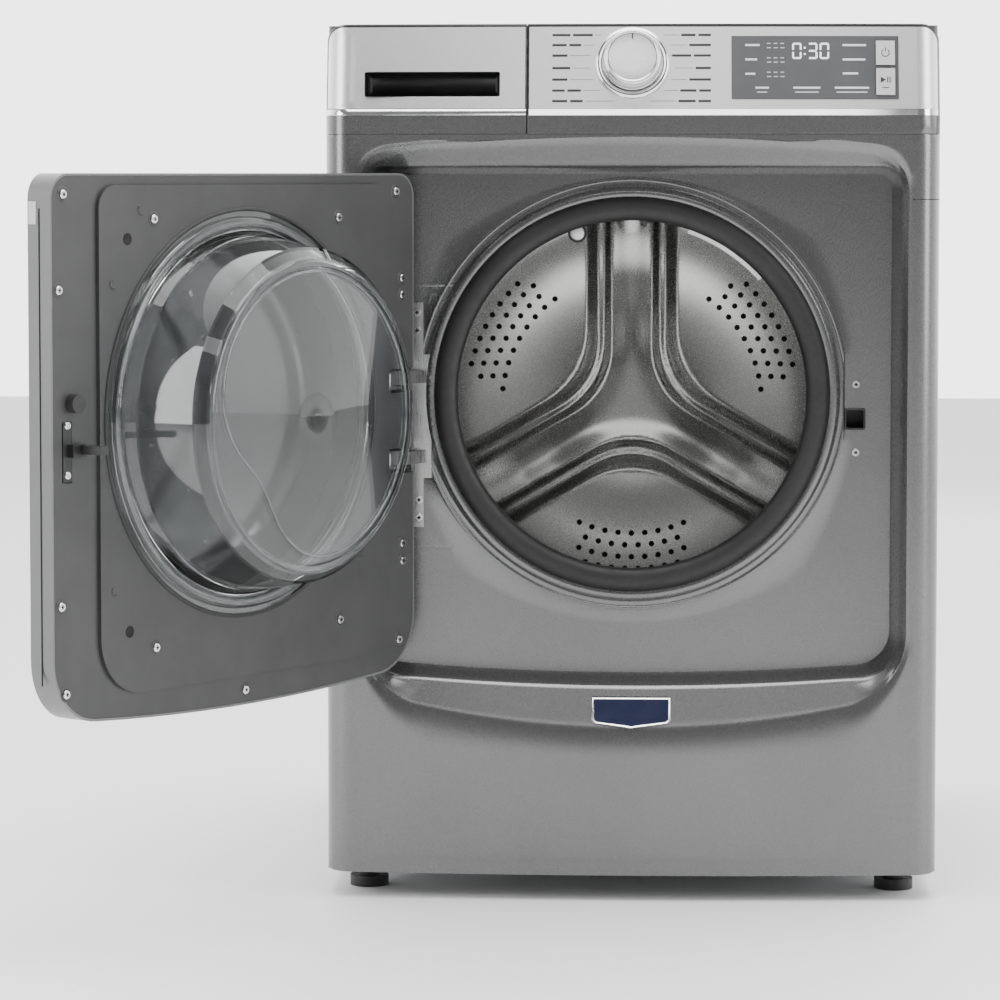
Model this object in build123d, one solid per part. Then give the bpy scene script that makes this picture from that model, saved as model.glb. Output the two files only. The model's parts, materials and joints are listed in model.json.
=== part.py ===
from build123d import *
import math
import os

# Front load washing machine. Millimetres, +Z up, front faces -Y, +X is the viewer's right.
# The origin lies on the floor, at the centre of the four levelling feet.

# ---- Cabinet ----
half_width = 343.0
height = 981.0
panel_bottom = 29.0
front_apex_y = -407.0     # foremost line of the bowed front
front_sag = 17.0          # how far the bow falls back at its ends
front_roll_r = 30.0       # rounding between the bow and the cabinet's sides
side_front_y = -325.0     # front edge of the side and top panels
rear_y = 360.0
sheet = 1.5
top_fold = 15.0
panel_gap = 0.4

# ---- Console, a leaning face above a short upright skirt ----
console_bottom = 858.6
skirt_top = 879.0
face_bottom = 886.0
face_lean = 25.0          # how far the face leans back from skirt_top to the cabinet's top
console_corner = 21.0
console_split_x = -117.0  # dispenser drawer to the left, console to the right

# ---- Door recess ----
pocket_floor_y = -332.0
pocket_mid_y = -352.0
pocket_lip_y = -380.0
mouth_z = 565.0
gasket_outer_r = 223.0
gasket_mouth_r = 197.0
panel_hole_r = 219.0

# ---- Door, drawn closed and then swung to its open stop ----
hinge_x = -273.0
hinge_y = -377.0
door_open_deg = 125.4
door_inner_y = -353.0
door_half = 289.0
door_top = 815.0
door_bottom = 250.0
door_edge_y = -384.0
door_apex_y = -410.0
door_skin = 2.5
bowl_z = 562.0
flange_r = 215.0
window_r = 205.0
arm_heights = (494.0, 585.0)   # centres of the two hinge arms
arm_half = 7.0
pin_r = 3.0
knuckle_r = 5.0

# ---- Wash unit, on an axis that falls towards the back ----
axis_tilt = 4.5
axis_y = -345.0
tub_r = 300.0
tub_front = 70.0          # distances along the axis from the mouth
tub_joint = 280.0
tub_back = 575.0
drum_r = 268.0
drum_front = 92.0
drum_back_at = 545.0
drum_mouth_r = 208.0
shaft_r = 17.5
pulley_at = 628.0
pulley_r = 150.0
belt_width = 14.0
motor_x = 90.0
motor_z = -372.0
motor_pulley_r = 12.0

# ---- Feet ----
foot_x = 300.0
foot_y = 310.0
foot_r = 22.0
foot_pad = 12.0
stud_r = 5.0


def block(x0, x1, y0, y1, z0, z1):
    """Box given by its two corners."""
    return Pos((x0 + x1) / 2, (y0 + y1) / 2, (z0 + z1) / 2) * Box(x1 - x0, y1 - y0, z1 - z0)


def rod_y(x, z, radius, y0, y1):
    """Cylinder along Y."""
    return Pos(x, (y0 + y1) / 2, z) * Rot(90, 0, 0) * Cylinder(radius, y1 - y0)


def rod_z(x, y, radius, z0, z1):
    """Cylinder along Z."""
    return Pos(x, y, (z0 + z1) / 2) * Cylinder(radius, z1 - z0)


def ring_y(x, z, outer, inner, y0, y1):
    """Flat ring or tube along Y."""
    return rod_y(x, z, outer, y0, y1) - rod_y(x, z, inner, y0 - 1, y1 + 1)


def bow_face(z, half, apex, y_back):
    """Plan outline with a bowed front and rounded front corners, at height z."""
    ends = apex + front_sag * (half / half_width) ** 2
    arc = ThreePointArc((-half, ends), (0, apex), (half, ends))
    back = Polyline((half, ends), (half, y_back), (-half, y_back), (-half, ends))
    face = make_face(arc + back)
    corners = [v for v in face.vertices() if v.Y < ends + 1]
    return Pos(0, 0, z) * fillet(corners, front_roll_r - half_width + half)


def bow_slab(z0, z1, half, apex, y_back, lean=0.0):
    """Solid with a bowed front that may lean back towards its top."""
    low = bow_face(z0, half, apex, y_back)
    if lean == 0:
        return extrude(low, z1 - z0)
    return loft([low, bow_face(z1, half, apex + lean, y_back)], ruled=True)


def shield_face(y, half, top, bottom, rise, corner_top, corner_low):
    """Door-shaped outline across Y: straight sides and a bottom edge that sags at its middle."""
    base = ThreePointArc((-half, bottom + rise), (0, bottom), (half, bottom + rise))
    sides = Polyline((half, bottom + rise), (half, top), (-half, top), (-half, bottom + rise))
    face = make_face(base + sides)
    upper = [v for v in face.vertices() if v.Y > top - 1]
    face = fillet(upper, corner_top)
    lower = [v for v in face.vertices() if v.Y < bottom + rise + 1 and abs(v.X) > half - 1]
    face = fillet(lower, corner_low)
    return Plane((0, y, 0), x_dir=(1, 0, 0), z_dir=(0, -1, 0)) * face


def shield_block(y0, y1, half, top, bottom, rise, corner_top, corner_low):
    """Door-shaped prism between two planes, y0 in front of y1."""
    return extrude(shield_face(y1, half, top, bottom, rise, corner_top, corner_low), y1 - y0)


# Recess outline at four depths: y, half width, top, bottom, low and top corner radius.
# The last two stations are the sloping bevel around the recess.
pocket_stations = (
    (pocket_floor_y, 295.0, 808.0, 252.0, 42.0, 24.0),
    (pocket_mid_y, 299.0, 818.0, 243.0, 44.0, 25.0),
    (pocket_lip_y, 301.0, 822.0, 240.0, 45.0, 26.0),
    (-430.0, 322.0, 883.0, 147.0, 78.0, 60.0),
)
pocket_rise = 14.0


def pocket_solid(grow):
    """The door recess as a solid, grown outwards by a thickness."""
    faces = []
    for y, half, top, bottom, low, high in pocket_stations:
        depth = y + grow if y == pocket_floor_y else y
        faces.append(shield_face(depth, half + grow, top + grow, bottom - grow, pocket_rise,
                                 high + grow, low + grow))
    solid = loft(faces[:2], ruled=True)
    for pair in (faces[1:3], faces[2:4]):
        solid += loft(pair, ruled=True)
    return solid


# Lock slot and the screws of hinge and lock, as (x, z) on the recess floor.
lock_x = 252.0
lock_z = 538.0
lock_slot = (12.0, 12.2)
lock_screw_at = ((253.0, 577.0), (253.0, 500.0))
hinge_screw_at = ((-243.0, 658.0), (-243.0, 637.5), (-241.0, 445.0), (-241.0, 425.0))
screw_head_r = 4.7
screw_shank_r = 2.0
screw_clear = 0.2


def front_panel():
    """Bowed pressed front with returns, the door recess and the mouth hole."""
    top = console_bottom - panel_gap
    back = side_front_y - panel_gap
    outer = bow_slab(panel_bottom, top, half_width, front_apex_y, back)
    inner = bow_slab(panel_bottom + sheet, top - sheet, half_width - sheet, front_apex_y + sheet,
                     back + 5)
    pressed = outer - inner - pocket_solid(sheet)
    full = bow_slab(panel_bottom, top, half_width, front_apex_y, back + 20)
    recess = (pocket_solid(sheet) - pocket_solid(0.0)) & full
    panel = pressed + recess
    panel -= rod_y(0, mouth_z, panel_hole_r, pocket_floor_y - 10, pocket_floor_y + 10)
    panel -= block(lock_x - lock_slot[0], lock_x + lock_slot[0], pocket_floor_y - 5, pocket_floor_y + 5,
                   lock_z - lock_slot[1], lock_z + lock_slot[1])
    for x, z in lock_screw_at + hinge_screw_at:
        panel -= rod_y(x, z, screw_shank_r + screw_clear, pocket_floor_y - 5, pocket_floor_y + 5)
    return panel


def side_panel(side):
    """Flat side sheet with a rear return, side is -1 for left and +1 for right."""
    low = panel_bottom
    high = height - top_fold - panel_gap
    outer = half_width * side
    inner = (half_width - sheet) * side
    lip = (half_width - 14) * side
    wall = block(min(outer, inner), max(outer, inner), side_front_y, rear_y, low, high)
    back = block(min(inner, lip), max(inner, lip), rear_y - sheet, rear_y, low, high)
    return wall + back


def top_panel():
    """Folded lid sheet."""
    outer = block(-half_width, half_width, side_front_y, rear_y, height - top_fold, height)
    outer = fillet(outer.edges().filter_by(Axis.Z), 4)
    inner = block(-half_width + sheet, half_width - sheet, side_front_y + sheet, rear_y - sheet,
                  height - top_fold - 1, height - sheet)
    return outer - inner


# Rear panel fittings, as (x, z).
hot_at = (232.0, 925.0)
cold_at = (172.0, 925.0)
drain_at = (-250.0, 905.0)
gland_at = (-190.0, 925.0)
inlet_r = 13.4
inlet_length = 16.0
drain_r = 11.0
drain_length = 28.0
gland_bore_r = 4.5
gland_r = 9.0
kit_spacing = 640.0
kit_hole_r = 2.6
rear_face_y = rear_y - sheet - panel_gap


def rear_panel():
    """Rear sheet, set between the side returns, with a pressed stiffening frame and the fitting holes."""
    plate = block(-half_width + sheet + panel_gap, half_width - sheet - panel_gap,
                  rear_face_y - sheet, rear_face_y,
                  panel_bottom + 3, height - top_fold - 4)
    swage = block(-230, 230, rear_face_y - sheet - 5, rear_face_y - 5, 250, 800)
    swage_walls = block(-230, 230, rear_face_y - sheet - 5, rear_face_y, 250, 800)
    swage_walls -= block(-230 + sheet, 230 - sheet, rear_face_y - 20, rear_face_y + 1,
                         250 + sheet, 800 - sheet)
    plate -= block(-230 + sheet, 230 - sheet, rear_face_y - 20, rear_face_y + 1, 250 + sheet, 800 - sheet)
    panel = plate + swage_walls + swage
    for x, z in (hot_at, cold_at):
        panel -= rod_y(x, z, inlet_r + 1.5, rear_face_y - 10, rear_face_y + 10)
    panel -= rod_y(drain_at[0], drain_at[1], drain_r + 1.5, rear_face_y - 10, rear_face_y + 10)
    panel -= rod_y(gland_at[0], gland_at[1], gland_r, rear_face_y - 10, rear_face_y + 10)
    for side in (-1, 1):
        panel -= rod_y(side * kit_spacing / 2, 870, kit_hole_r, rear_face_y - 10, rear_face_y + 10)
    return panel


def base_pan():
    """Folded base tray that carries feet, pump and dampers."""
    outer = block(-half_width + sheet + panel_gap, half_width - sheet - panel_gap,
                  side_front_y + 3, rear_face_y - 4,
                  panel_bottom, panel_bottom + 40)
    inner = block(-half_width + 4, half_width - 4, side_front_y + 5, rear_face_y - 6,
                  panel_bottom + 2.5, panel_bottom + 50)
    pan = outer - inner
    for x in (-foot_x, foot_x):
        for y in (-foot_y, foot_y):
            pan -= rod_z(x, y, stud_r + 0.4, panel_bottom - 5, panel_bottom + 10)
    return pan


def leveling_feet():
    """Four rubber-tipped feet on threaded studs."""
    feet = []
    for x in (-foot_x, foot_x):
        for y in (-foot_y, foot_y):
            pad = rod_z(x, y, foot_r, 0, foot_pad) + rod_z(x, y, 12, foot_pad, foot_pad + 4)
            feet.append(pad + rod_z(x, y, stud_r, foot_pad, panel_bottom + 22))
    return Compound(feet)


def foot_locknuts():
    """Hexagon nuts run up against the base pan."""
    nuts = []
    for x in (-foot_x, foot_x):
        for y in (-foot_y, foot_y):
            hexagon = extrude(Pos(x, y, panel_bottom - 7) * RegularPolygon(10, 6), 7)
            nuts.append(hexagon - rod_z(x, y, stud_r + 0.1, 0, 60))
    return Compound(nuts)


brace_at = (-25.0, 215.0)


def cross_braces():
    """Two channels across the cabinet that carry the springs."""
    bars = []
    for y in brace_at:
        bar = block(-half_width + sheet + panel_gap, half_width - sheet - panel_gap, y - 16,
                    y + 16, 930, 958)
        bars.append(bar - block(-half_width, half_width, y - 14, y + 14, 928, 956))
    return Compound(bars)


# ---- Console ----
knob_z = 937.0
knob_r = 33.0
knob_ring_r = 41.0
display_x = (110.0, 295.0)
display_z = (897.0, 967.0)
button_x = (270.0, 291.0)
power_z = (935.0, 962.0)
start_z = (901.6, 931.4)
button_gap = 0.6
button_travel = 1.5
grip_x = (-298.0, -147.0)
grip_z = (900.0, 927.6)
grip_back = -342.0
lean_angle = math.degrees(math.atan(face_lean / (height - skirt_top)))


def console_solid(depth, half, top):
    """The console's leaning block, its front moved back by a depth."""
    back = side_front_y - panel_gap
    skirt = bow_slab(console_bottom, skirt_top, half, front_apex_y + depth, back)
    face = bow_slab(skirt_top, height, half, front_apex_y + depth, back, face_lean)
    outline = block(-half, half, -600, 0, console_bottom, top)
    upper = outline.edges().filter_by(Axis.Y).group_by(Axis.Z)[-1]
    return (skirt + face) & fillet(upper, console_corner - half_width + half)


def console_layer(front, back, z0, z1):
    """Skin of the leaning console face between two depths behind its surface."""
    skin = console_solid(front, half_width, height) - console_solid(back, half_width + 1, height + 1)
    return skin & block(-half_width - 1, half_width + 1, -600, side_front_y - 8, z0, z1)


def console_shell(front):
    """Hollow console moulding: face, end walls and roof, open at its back and underside."""
    wall = 2.5
    hollow = console_solid(front + wall, half_width - wall, height - wall)
    hollow += block(-half_width + wall, half_width - wall, side_front_y - 12, 0, console_bottom - 1,
                    height - wall - console_corner)
    hollow += block(-half_width + console_corner, half_width - console_corner, side_front_y - 12, 0,
                    console_bottom, height - wall)
    return console_solid(front, half_width, height) - hollow


def face_y(x, z):
    """Y of the console's front surface away from its rounded ends."""
    lean = face_lean * max(0.0, z - skirt_top) / (height - skirt_top)
    return front_apex_y + front_sag * (x / half_width) ** 2 + lean


def on_face(x, z):
    """Location on the console face at x, z, with local Z pointing out of the face."""
    return Pos(x, face_y(x, z), z) * Rot(90 - lean_angle, 0, 0)


def console_base():
    """Painted carrier behind the console face, with its skirt, end wall and roof."""
    body = console_shell(1.8) + console_layer(0.0, 3.0, console_bottom, skirt_top)
    body = body & block(console_split_x + 0.5, half_width, -600, 0, console_bottom, height)
    body -= block(display_x[0] - 0.3, display_x[1] + 0.3, -600, -335, display_z[0] - 0.3,
                  display_z[1] + 0.3)
    body -= on_face(0, knob_z) * Cylinder(6.5, 80)
    return body


def console_fascia():
    """Brushed steel face to the right of the drawer, cut out for knob and display."""
    skin = console_layer(0.0, 1.5, face_bottom + 0.3, height - 3.5)
    skin = skin & block(console_split_x + 2.5, half_width - 3.5, -600, 0, 0, 2000)
    corner = block(0, half_width - 3.5, -600, 0, 800, height - 3.5)
    corner = fillet(corner.edges().filter_by(Axis.Y).group_by(Axis.Z)[-1].sort_by(Axis.X)[-1:],
                    console_corner - 3)
    skin = (skin & block(-400, 0, -600, 0, 0, 2000)) + (skin & corner)
    skin -= block(display_x[0] - 0.3, display_x[1] + 0.3, -600, -335, display_z[0] - 0.3,
                  display_z[1] + 0.3)
    skin -= on_face(0, knob_z) * Cylinder(6.5, 80)
    return skin


def console_trim():
    """Chrome strip under the brushed face."""
    strip = console_layer(-1.5, 1.5, skirt_top + 0.2, face_bottom - 0.1)
    return strip & block(console_split_x + 2.5, half_width - 3.5, -600, 0, 0, 2000)


def display_window():
    """Dark display cover that also frames the two buttons."""
    pane = console_layer(-0.8, 4.0, display_z[0], display_z[1])
    pane = pane & block(display_x[0], display_x[1], -600, 0, 0, 2000)
    for low, high in (power_z, start_z):
        pane -= block(button_x[0] - button_gap, button_x[1] + button_gap, -600, 0,
                      low - button_gap, high + button_gap)
    return pane


def push_button(span):
    """Button cap with a short stem, free to travel inwards."""
    cap = console_layer(-2.6, 3.0, span[0], span[1])
    return cap & block(button_x[0], button_x[1], -600, 0, 0, 2000)


def ui_board():
    """Circuit board behind the display."""
    board = block(display_x[0] - 4, display_x[1] - 6, -332, -330.4, display_z[0] - 8, display_z[1] - 2)
    digits = block(display_x[0] + 20, display_x[0] + 90, -337, -332, display_z[0] + 10, display_z[1] - 24)
    return board + digits


def knob_ring():
    """Fixed ring on the fascia around the knob."""
    collar = Cylinder(knob_ring_r, 5.0, align=(Align.CENTER, Align.CENTER, Align.MIN))
    collar = chamfer(collar.edges().sort_by(Axis.Z)[-1:], 2.0)
    return on_face(0, knob_z) * Pos(0, 0, 0.6) * (collar - Cylinder(6.6, 40))


def knob_cap():
    """Programme knob with its shaft."""
    cap = Cylinder(knob_r, 22.0, align=(Align.CENTER, Align.CENTER, Align.MIN))
    cap = chamfer(cap.edges().sort_by(Axis.Z)[-1:], 3.0)
    shaft = Cylinder(5.5, 30.0, align=(Align.CENTER, Align.CENTER, Align.MAX))
    return on_face(0, knob_z) * Pos(0, 0, 6.4) * (cap + shaft)


def encoder():
    """Rotary encoder that the knob shaft turns in."""
    can = Cylinder(13, 9) - Cylinder(5.56, 20)
    return on_face(0, knob_z) * Pos(0, 0, -13) * can


# ---- Dispenser ----
drawer_gap = 1.0
tray_x = (-330.0, -128.0)
tray_y = (-341.0, -110.0)
tray_z = (884.0, 948.0)
tray_wall = 2.2
housing_wall = 2.0
housing_gap = 2.0
drawer_travel = 0.215


def drawer_front():
    """Painted skirt and brushed face of the drawer, with the grip pocket behind its slot."""
    left = block(-half_width, console_split_x - 0.5, -600, 0, console_bottom, height)
    body = console_shell(0.0) & left
    body -= block(grip_x[0], grip_x[1], -600, grip_back - 2, grip_z[0], grip_z[1])
    cup = block(grip_x[0] - 2, grip_x[1] + 2, -420, grip_back, grip_z[0] - 2, grip_z[1] + 2)
    cup = cup & console_solid(2.0, half_width, height)
    cup -= block(grip_x[0], grip_x[1], -600, grip_back - 2, grip_z[0], grip_z[1])
    return body + cup


def drawer_tray():
    """Tray with three compartments that slides in the housing."""
    x0, x1 = tray_x
    y0, y1 = tray_y
    z0, z1 = tray_z
    tray = block(x0, x1, y0, y1, z0, z1)
    first = x0 + 62
    second = x0 + 124
    for low, high in ((x0 + tray_wall, first), (first + tray_wall, second),
                      (second + tray_wall, x1 - tray_wall)):
        tray -= block(low, high, y0 + tray_wall, y1 - tray_wall, z0 + tray_wall, z1 + 1)
    return tray


def drawer_housing():
    """Box that guides the tray and drops the wash water into the tub, open at the front."""
    x0 = tray_x[0] - housing_gap - housing_wall
    x1 = tray_x[1] + housing_gap + housing_wall
    y1 = tray_y[1] + 30
    z0 = tray_z[0] - housing_gap - housing_wall
    z1 = tray_z[1] + housing_gap + housing_wall
    box = block(x0, x1, side_front_y + 3, y1, z0, z1)
    box -= block(x0 + housing_wall, x1 - housing_wall, side_front_y - 5, y1 - housing_wall,
                 z0 + housing_wall, z1 - housing_wall)
    return box + rod_z(-225, -100, 20, z0 - 18, z0 + 0.5)


# ---- Door, drawn closed ----
door_corner_top = 26.0
door_corner_low = 66.0


def door_prism(y0, y1, inset):
    """Door outline as a prism, pulled in by an inset."""
    return shield_block(y0, y1, door_half - inset, door_top - inset, door_bottom + inset, pocket_rise,
                        door_corner_top - inset, door_corner_low - inset)


def door_bow(offset):
    """Everything behind the door's bowed outer surface, moved back by an offset."""
    wide = 330.0
    ends = door_apex_y + (door_edge_y - door_apex_y) * (wide / door_half) ** 2 + offset
    arc = ThreePointArc((-wide, ends), (0, door_apex_y + offset), (wide, ends))
    back = Polyline((wide, ends), (wide, -300), (-wide, -300), (-wide, ends))
    return extrude(Pos(0, 0, 200) * make_face(arc + back), 660)


def swing(piece):
    """Swings a door piece from closed to the open stop."""
    return Pos(hinge_x, hinge_y, 0) * Rot(0, 0, -door_open_deg) * Pos(-hinge_x, -hinge_y, 0) * piece


def arm_notches(grow):
    """Clearance around the two hinge arms at the door's edge, short of the outer skin."""
    cuts = []
    for z in arm_heights:
        half = arm_half + 6 + grow
        cuts.append(block(hinge_x - 30, hinge_x + 26 + grow, hinge_y - 7, -340, z - half, z + half))
    return cuts


def door_outer_frame():
    """Painted outer shell with its side walls and the round window hole."""
    solid = door_prism(-430, door_inner_y, 0) & door_bow(0)
    hollow = door_prism(-430, door_inner_y + 5, door_skin) & door_bow(door_skin)
    shell = solid - hollow
    shell -= rod_y(0, bowl_z, window_r + 0.3, -450, -365)
    for cut in arm_notches(0):
        shell -= cut
    return shell


def door_window():
    """Clear outer pane that follows the bow."""
    skin = door_bow(0) - door_bow(door_skin)
    return skin & rod_y(0, bowl_z, window_r, -450, -365)


# Door fasteners as (x, z) in the closed position: edge screws, pad screws and hinge-side pairs.
door_edge_screws = (
    (-257.0, 795.0), (-261.0, 294.0), (271.0, 794.0), (271.0, 291.0), (278.0, 698.0), (277.0, 380.0),
    (-1.0, 266.0), (142.0, 768.0), (-153.0, 767.0), (142.0, 326.0), (-154.0, 327.0),
    (-268.0, 698.6), (-268.0, 680.0), (-268.0, 401.5), (-268.0, 382.0),
)
pad_x = (-237.0, 223.0)
pad_z = (282.0, 803.0)
pad_height = 4.0


def pad_prism(y0, y1, inset):
    """Raised centre pad of the inner door panel."""
    pad = block(pad_x[0] + inset, pad_x[1] - inset, y0, y1, pad_z[0] + inset, pad_z[1] - inset)
    upright = pad.edges().filter_by(Axis.Y)
    pad = fillet(upright.group_by(Axis.Z)[0], 60 - inset)
    return fillet(pad.edges().filter_by(Axis.Y).group_by(Axis.Z)[-1], 24 - inset)


def on_pad(x, z):
    """True where a screw sits on the raised pad."""
    return pad_x[0] < x < pad_x[1] and pad_z[0] < z < pad_z[1]


def door_inner_panel():
    """Moulded inner panel with its raised pad and a stepped seat for the bowl."""
    panel = door_prism(door_inner_y - 3, door_inner_y, door_skin + 0.3)
    hollow = pad_prism(-400, door_inner_y + 1, 3)
    panel += pad_prism(door_inner_y - 3, door_inner_y + pad_height, 0) - hollow
    panel -= rod_y(0, bowl_z, flange_r + 0.5, door_inner_y, door_inner_y + 20)
    panel -= rod_y(0, bowl_z, 199, -400, -300)
    for cut in arm_notches(1):
        panel -= cut
    for x, z in door_edge_screws:
        panel -= rod_y(x, z, screw_shank_r + screw_clear, -400, -300)
    panel -= block(strike_x - 10, strike_x + 4, -400, -300, lock_z - 34, lock_z + 28)
    return panel


def glass_bowl():
    """Clear bowl with a flat flange, a conical wall and a domed end."""
    wall = Polyline((0, 0), (flange_r, 0), (flange_r, 5), (194, 6.5), (188, 20), (176, 86),
                    (164, 98), (0, 104), (0, 0))
    solid = revolve(Plane.XZ * make_face(wall), Axis.Z, 360)
    cavity = Polyline((0, -1), (186, -1), (183, 20), (171, 84), (160, 93), (0, 99), (0, -1))
    solid -= revolve(Plane.XZ * make_face(cavity), Axis.Z, 360)
    return Pos(0, door_inner_y + 0.3, bowl_z) * Rot(-90, 0, 0) * solid


def hinge_arm_pieces(z):
    """Fixed arm from the hinge plate to its knuckle, with a running bore for the pin."""
    arm = Polyline((-244, pocket_floor_y - 2), (-232, pocket_floor_y - 2), (hinge_x + 5, hinge_y - 3),
                   (hinge_x - 3, hinge_y + 5), (-244, pocket_floor_y - 2))
    bar = extrude(Pos(0, 0, z - arm_half) * make_face(arm), 2 * arm_half)
    knuckle = rod_z(hinge_x, hinge_y, knuckle_r, z - arm_half, z + arm_half)
    return bar + knuckle - rod_z(hinge_x, hinge_y, pin_r + 0.05, z - 40, z + 40)


def hinge_plate():
    """Steel plate on the recess floor with its two arms."""
    y0 = pocket_floor_y - 2.4
    plate = block(-250, -236, y0, pocket_floor_y, 414, 669)
    plate += block(-250, -227, y0, pocket_floor_y, 470, 610)
    for z in arm_heights:
        plate += hinge_arm_pieces(z)
    for x, z in hinge_screw_at:
        plate -= rod_y(x, z, screw_shank_r + screw_clear, -400, -300)
    return plate


def hinge_leaf():
    """Door side of the hinge: a bracket with two ears and a pin for each arm."""
    leaf = block(hinge_x + 28, hinge_x + 52, door_inner_y - 6.5, door_inner_y - 3.4,
                 arm_heights[0] - 40, arm_heights[1] + 40)
    for z in arm_heights:
        for side in (-1, 1):
            low = z + side * (arm_half + 2) - 1.5
            ear = block(hinge_x, hinge_x + 30, hinge_y - 4, door_inner_y - 3.4, low, low + 3)
            leaf += ear + rod_z(hinge_x, hinge_y, knuckle_r, low, low + 3)
        leaf += rod_z(hinge_x, hinge_y, pin_r, z - arm_half - 3, z + arm_half + 3)
    return leaf


strike_x = 270.0


def door_strike():
    """Strike plate with the hook that enters the lock."""
    plate = block(strike_x - 9, strike_x + 3, door_inner_y - 3.5, door_inner_y + 0.6, lock_z - 33,
                  lock_z + 27)
    stem = block(lock_x - 5, strike_x - 4, door_inner_y + 0.1, door_inner_y + 8, lock_z - 8, lock_z + 5)
    hook = block(lock_x - 4, lock_x + 3, door_inner_y + 2, door_inner_y + 36, lock_z - 5, lock_z + 4)
    hook += block(lock_x - 8, lock_x + 3, door_inner_y + 30, door_inner_y + 36, lock_z - 5, lock_z + 4)
    return plate + stem + hook


def screw(x, z, seat_y):
    """Pan-head screw pointing towards the front, its head resting on a face at seat_y."""
    head = rod_y(x, z, screw_head_r, seat_y, seat_y + 2.4)
    head = chamfer(head.edges().filter_by(GeomType.CIRCLE).sort_by(Axis.Y)[-1:], 0.8)
    return head + rod_y(x, z, screw_shank_r, seat_y - 8, seat_y)


def door_screws():
    """All the screws on the door's inner side."""
    screws = []
    for x, z in door_edge_screws:
        seat = door_inner_y + (pad_height if on_pad(x, z) else 0.0)
        screws.append(screw(x, z, seat))
    return Compound(screws)


def front_screw(x, z, seat_y):
    """Pan-head screw driven towards the back."""
    head = rod_y(x, z, screw_head_r, seat_y - 2.4, seat_y)
    head = chamfer(head.edges().filter_by(GeomType.CIRCLE).sort_by(Axis.Y)[:1], 0.8)
    return head + rod_y(x, z, screw_shank_r, seat_y, seat_y + 8)


def front_screws():
    """Screws of hinge plate and lock, driven from the front."""
    screws = [front_screw(x, z, pocket_floor_y) for x, z in lock_screw_at]
    screws += [front_screw(x, z, pocket_floor_y - 2.4) for x, z in hinge_screw_at]
    return Compound(screws)


def door_bumper():
    """Rubber stop above the strike."""
    return rod_y(259, 584, 9.5, door_inner_y, door_inner_y + 10)


def door_lock():
    """Lock body behind the recess floor, with the pocket that takes the hook."""
    body = block(lock_x - 22, lock_x + 24, pocket_floor_y + sheet + 0.2, pocket_floor_y + 34,
                 lock_z - 56, lock_z + 56)
    body -= block(lock_x - 11.5, lock_x + 11.5, -400, pocket_floor_y + 30, lock_z - 11.5, lock_z + 11.5)
    for x, z in lock_screw_at:
        body -= rod_y(x, z, screw_shank_r + screw_clear, -400, -290)
    return body


# ---- Wash unit, drawn along +Y from the mouth and then tilted ----
def tilted(piece):
    """Puts a wash-unit piece drawn about the Y axis onto the machine's falling axis."""
    return Pos(0, axis_y, mouth_z) * Rot(-axis_tilt, 0, 0) * piece


def turned(points):
    """Solid of revolution about +Y from (radius, distance) points."""
    outline = Polyline(*points, points[0])
    return Rot(-90, 0, 0) * revolve(Plane.XZ * make_face(outline), Axis.Z, 360)


tub_wall = 4.0
tub_mouth_r = 214.0
tub_flange = 9.0


def tub_front_half():
    """Front half of the plastic tub with its neck for the gasket."""
    r = tub_r
    w = tub_wall
    shell = turned([(tub_mouth_r, tub_front - 14), (tub_mouth_r + w, tub_front - 14),
                    (tub_mouth_r + w, tub_front),
                    (r, tub_front + 12), (r, tub_joint - 8), (r + tub_flange, tub_joint - 8),
                    (r + tub_flange, tub_joint), (r - w, tub_joint), (r - w, tub_front + 12 + w),
                    (tub_mouth_r, tub_front + w)])
    sump = rod_z(60, tub_joint - 80, 28, -tub_r - 20, -tub_r + 8)
    sump = sump & block(0, 200, 0, 400, -400, -tub_r + 6)
    sump = sump - Rot(90, 0, 0) * Cylinder(tub_r - 1, 1200)
    return tilted(shell + sump)


def tub_rear_half():
    """Rear half of the tub with its bearing housing."""
    r = tub_r
    w = tub_wall
    shell = turned([(r - w, tub_joint + 0.1), (r + tub_flange, tub_joint + 0.1),
                    (r + tub_flange, tub_joint + 8),
                    (r, tub_joint + 8), (r, tub_back - 20), (r - 20, tub_back), (60, tub_back + 6),
                    (60, tub_back + 34), (bearing_r, tub_back + 34), (bearing_r, tub_back - 8),
                    (60, tub_back - 8), (r - 20 - w, tub_back - w), (r - w, tub_back - 20 - w)])
    heater_slot = block(-51, 51, tub_back - 60, tub_back + 60, -289, -275)
    return tilted(shell - heater_slot)


bearing_r = 31.0
bearing_width = 16.0
bearing_starts = (tub_back - 7.5, tub_back + 17.5)


def bearings():
    """Two ball bearings, drawn as plain rings."""
    rings = []
    for start in bearing_starts:
        ring = ring_y(0, 0, bearing_r - 0.02, shaft_r + 0.05, start, start + bearing_width)
        rings.append(tilted(ring))
    return Compound(rings)


def shaft_seal():
    """Lip seal in front of the bearings."""
    return tilted(ring_y(0, 0, 29.0, shaft_r + 0.1, tub_back - 18, tub_back - 8.2))


def counterweights():
    """Front ring segments and a block on top of the tub."""
    ring = ring_y(0, 0, tub_r - 8, tub_mouth_r + 12, tub_front - 26, tub_front - 2)
    upper = ring & block(-400, 400, 0, 200, 95, 400)
    lower = ring & block(-400, 400, 0, 200, -400, -95)
    top = block(-120, 120, 300, 440, 250, 345) - Rot(90, 0, 0) * Cylinder(tub_r + 0.5, 2000)
    return Compound([tilted(upper), tilted(lower), tilted(top)])


def heater():
    """Sheathed heating loop under the drum, entering through the tub's back."""
    loop = block(-50, 50, tub_joint + 60, tub_back - 40, -288, -276)
    loop -= block(-38, 38, tub_joint + 72, tub_back - 60, -300, -260)
    return tilted(loop + block(-50, 50, tub_back - 41, tub_back + 14, -288, -276))


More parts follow.
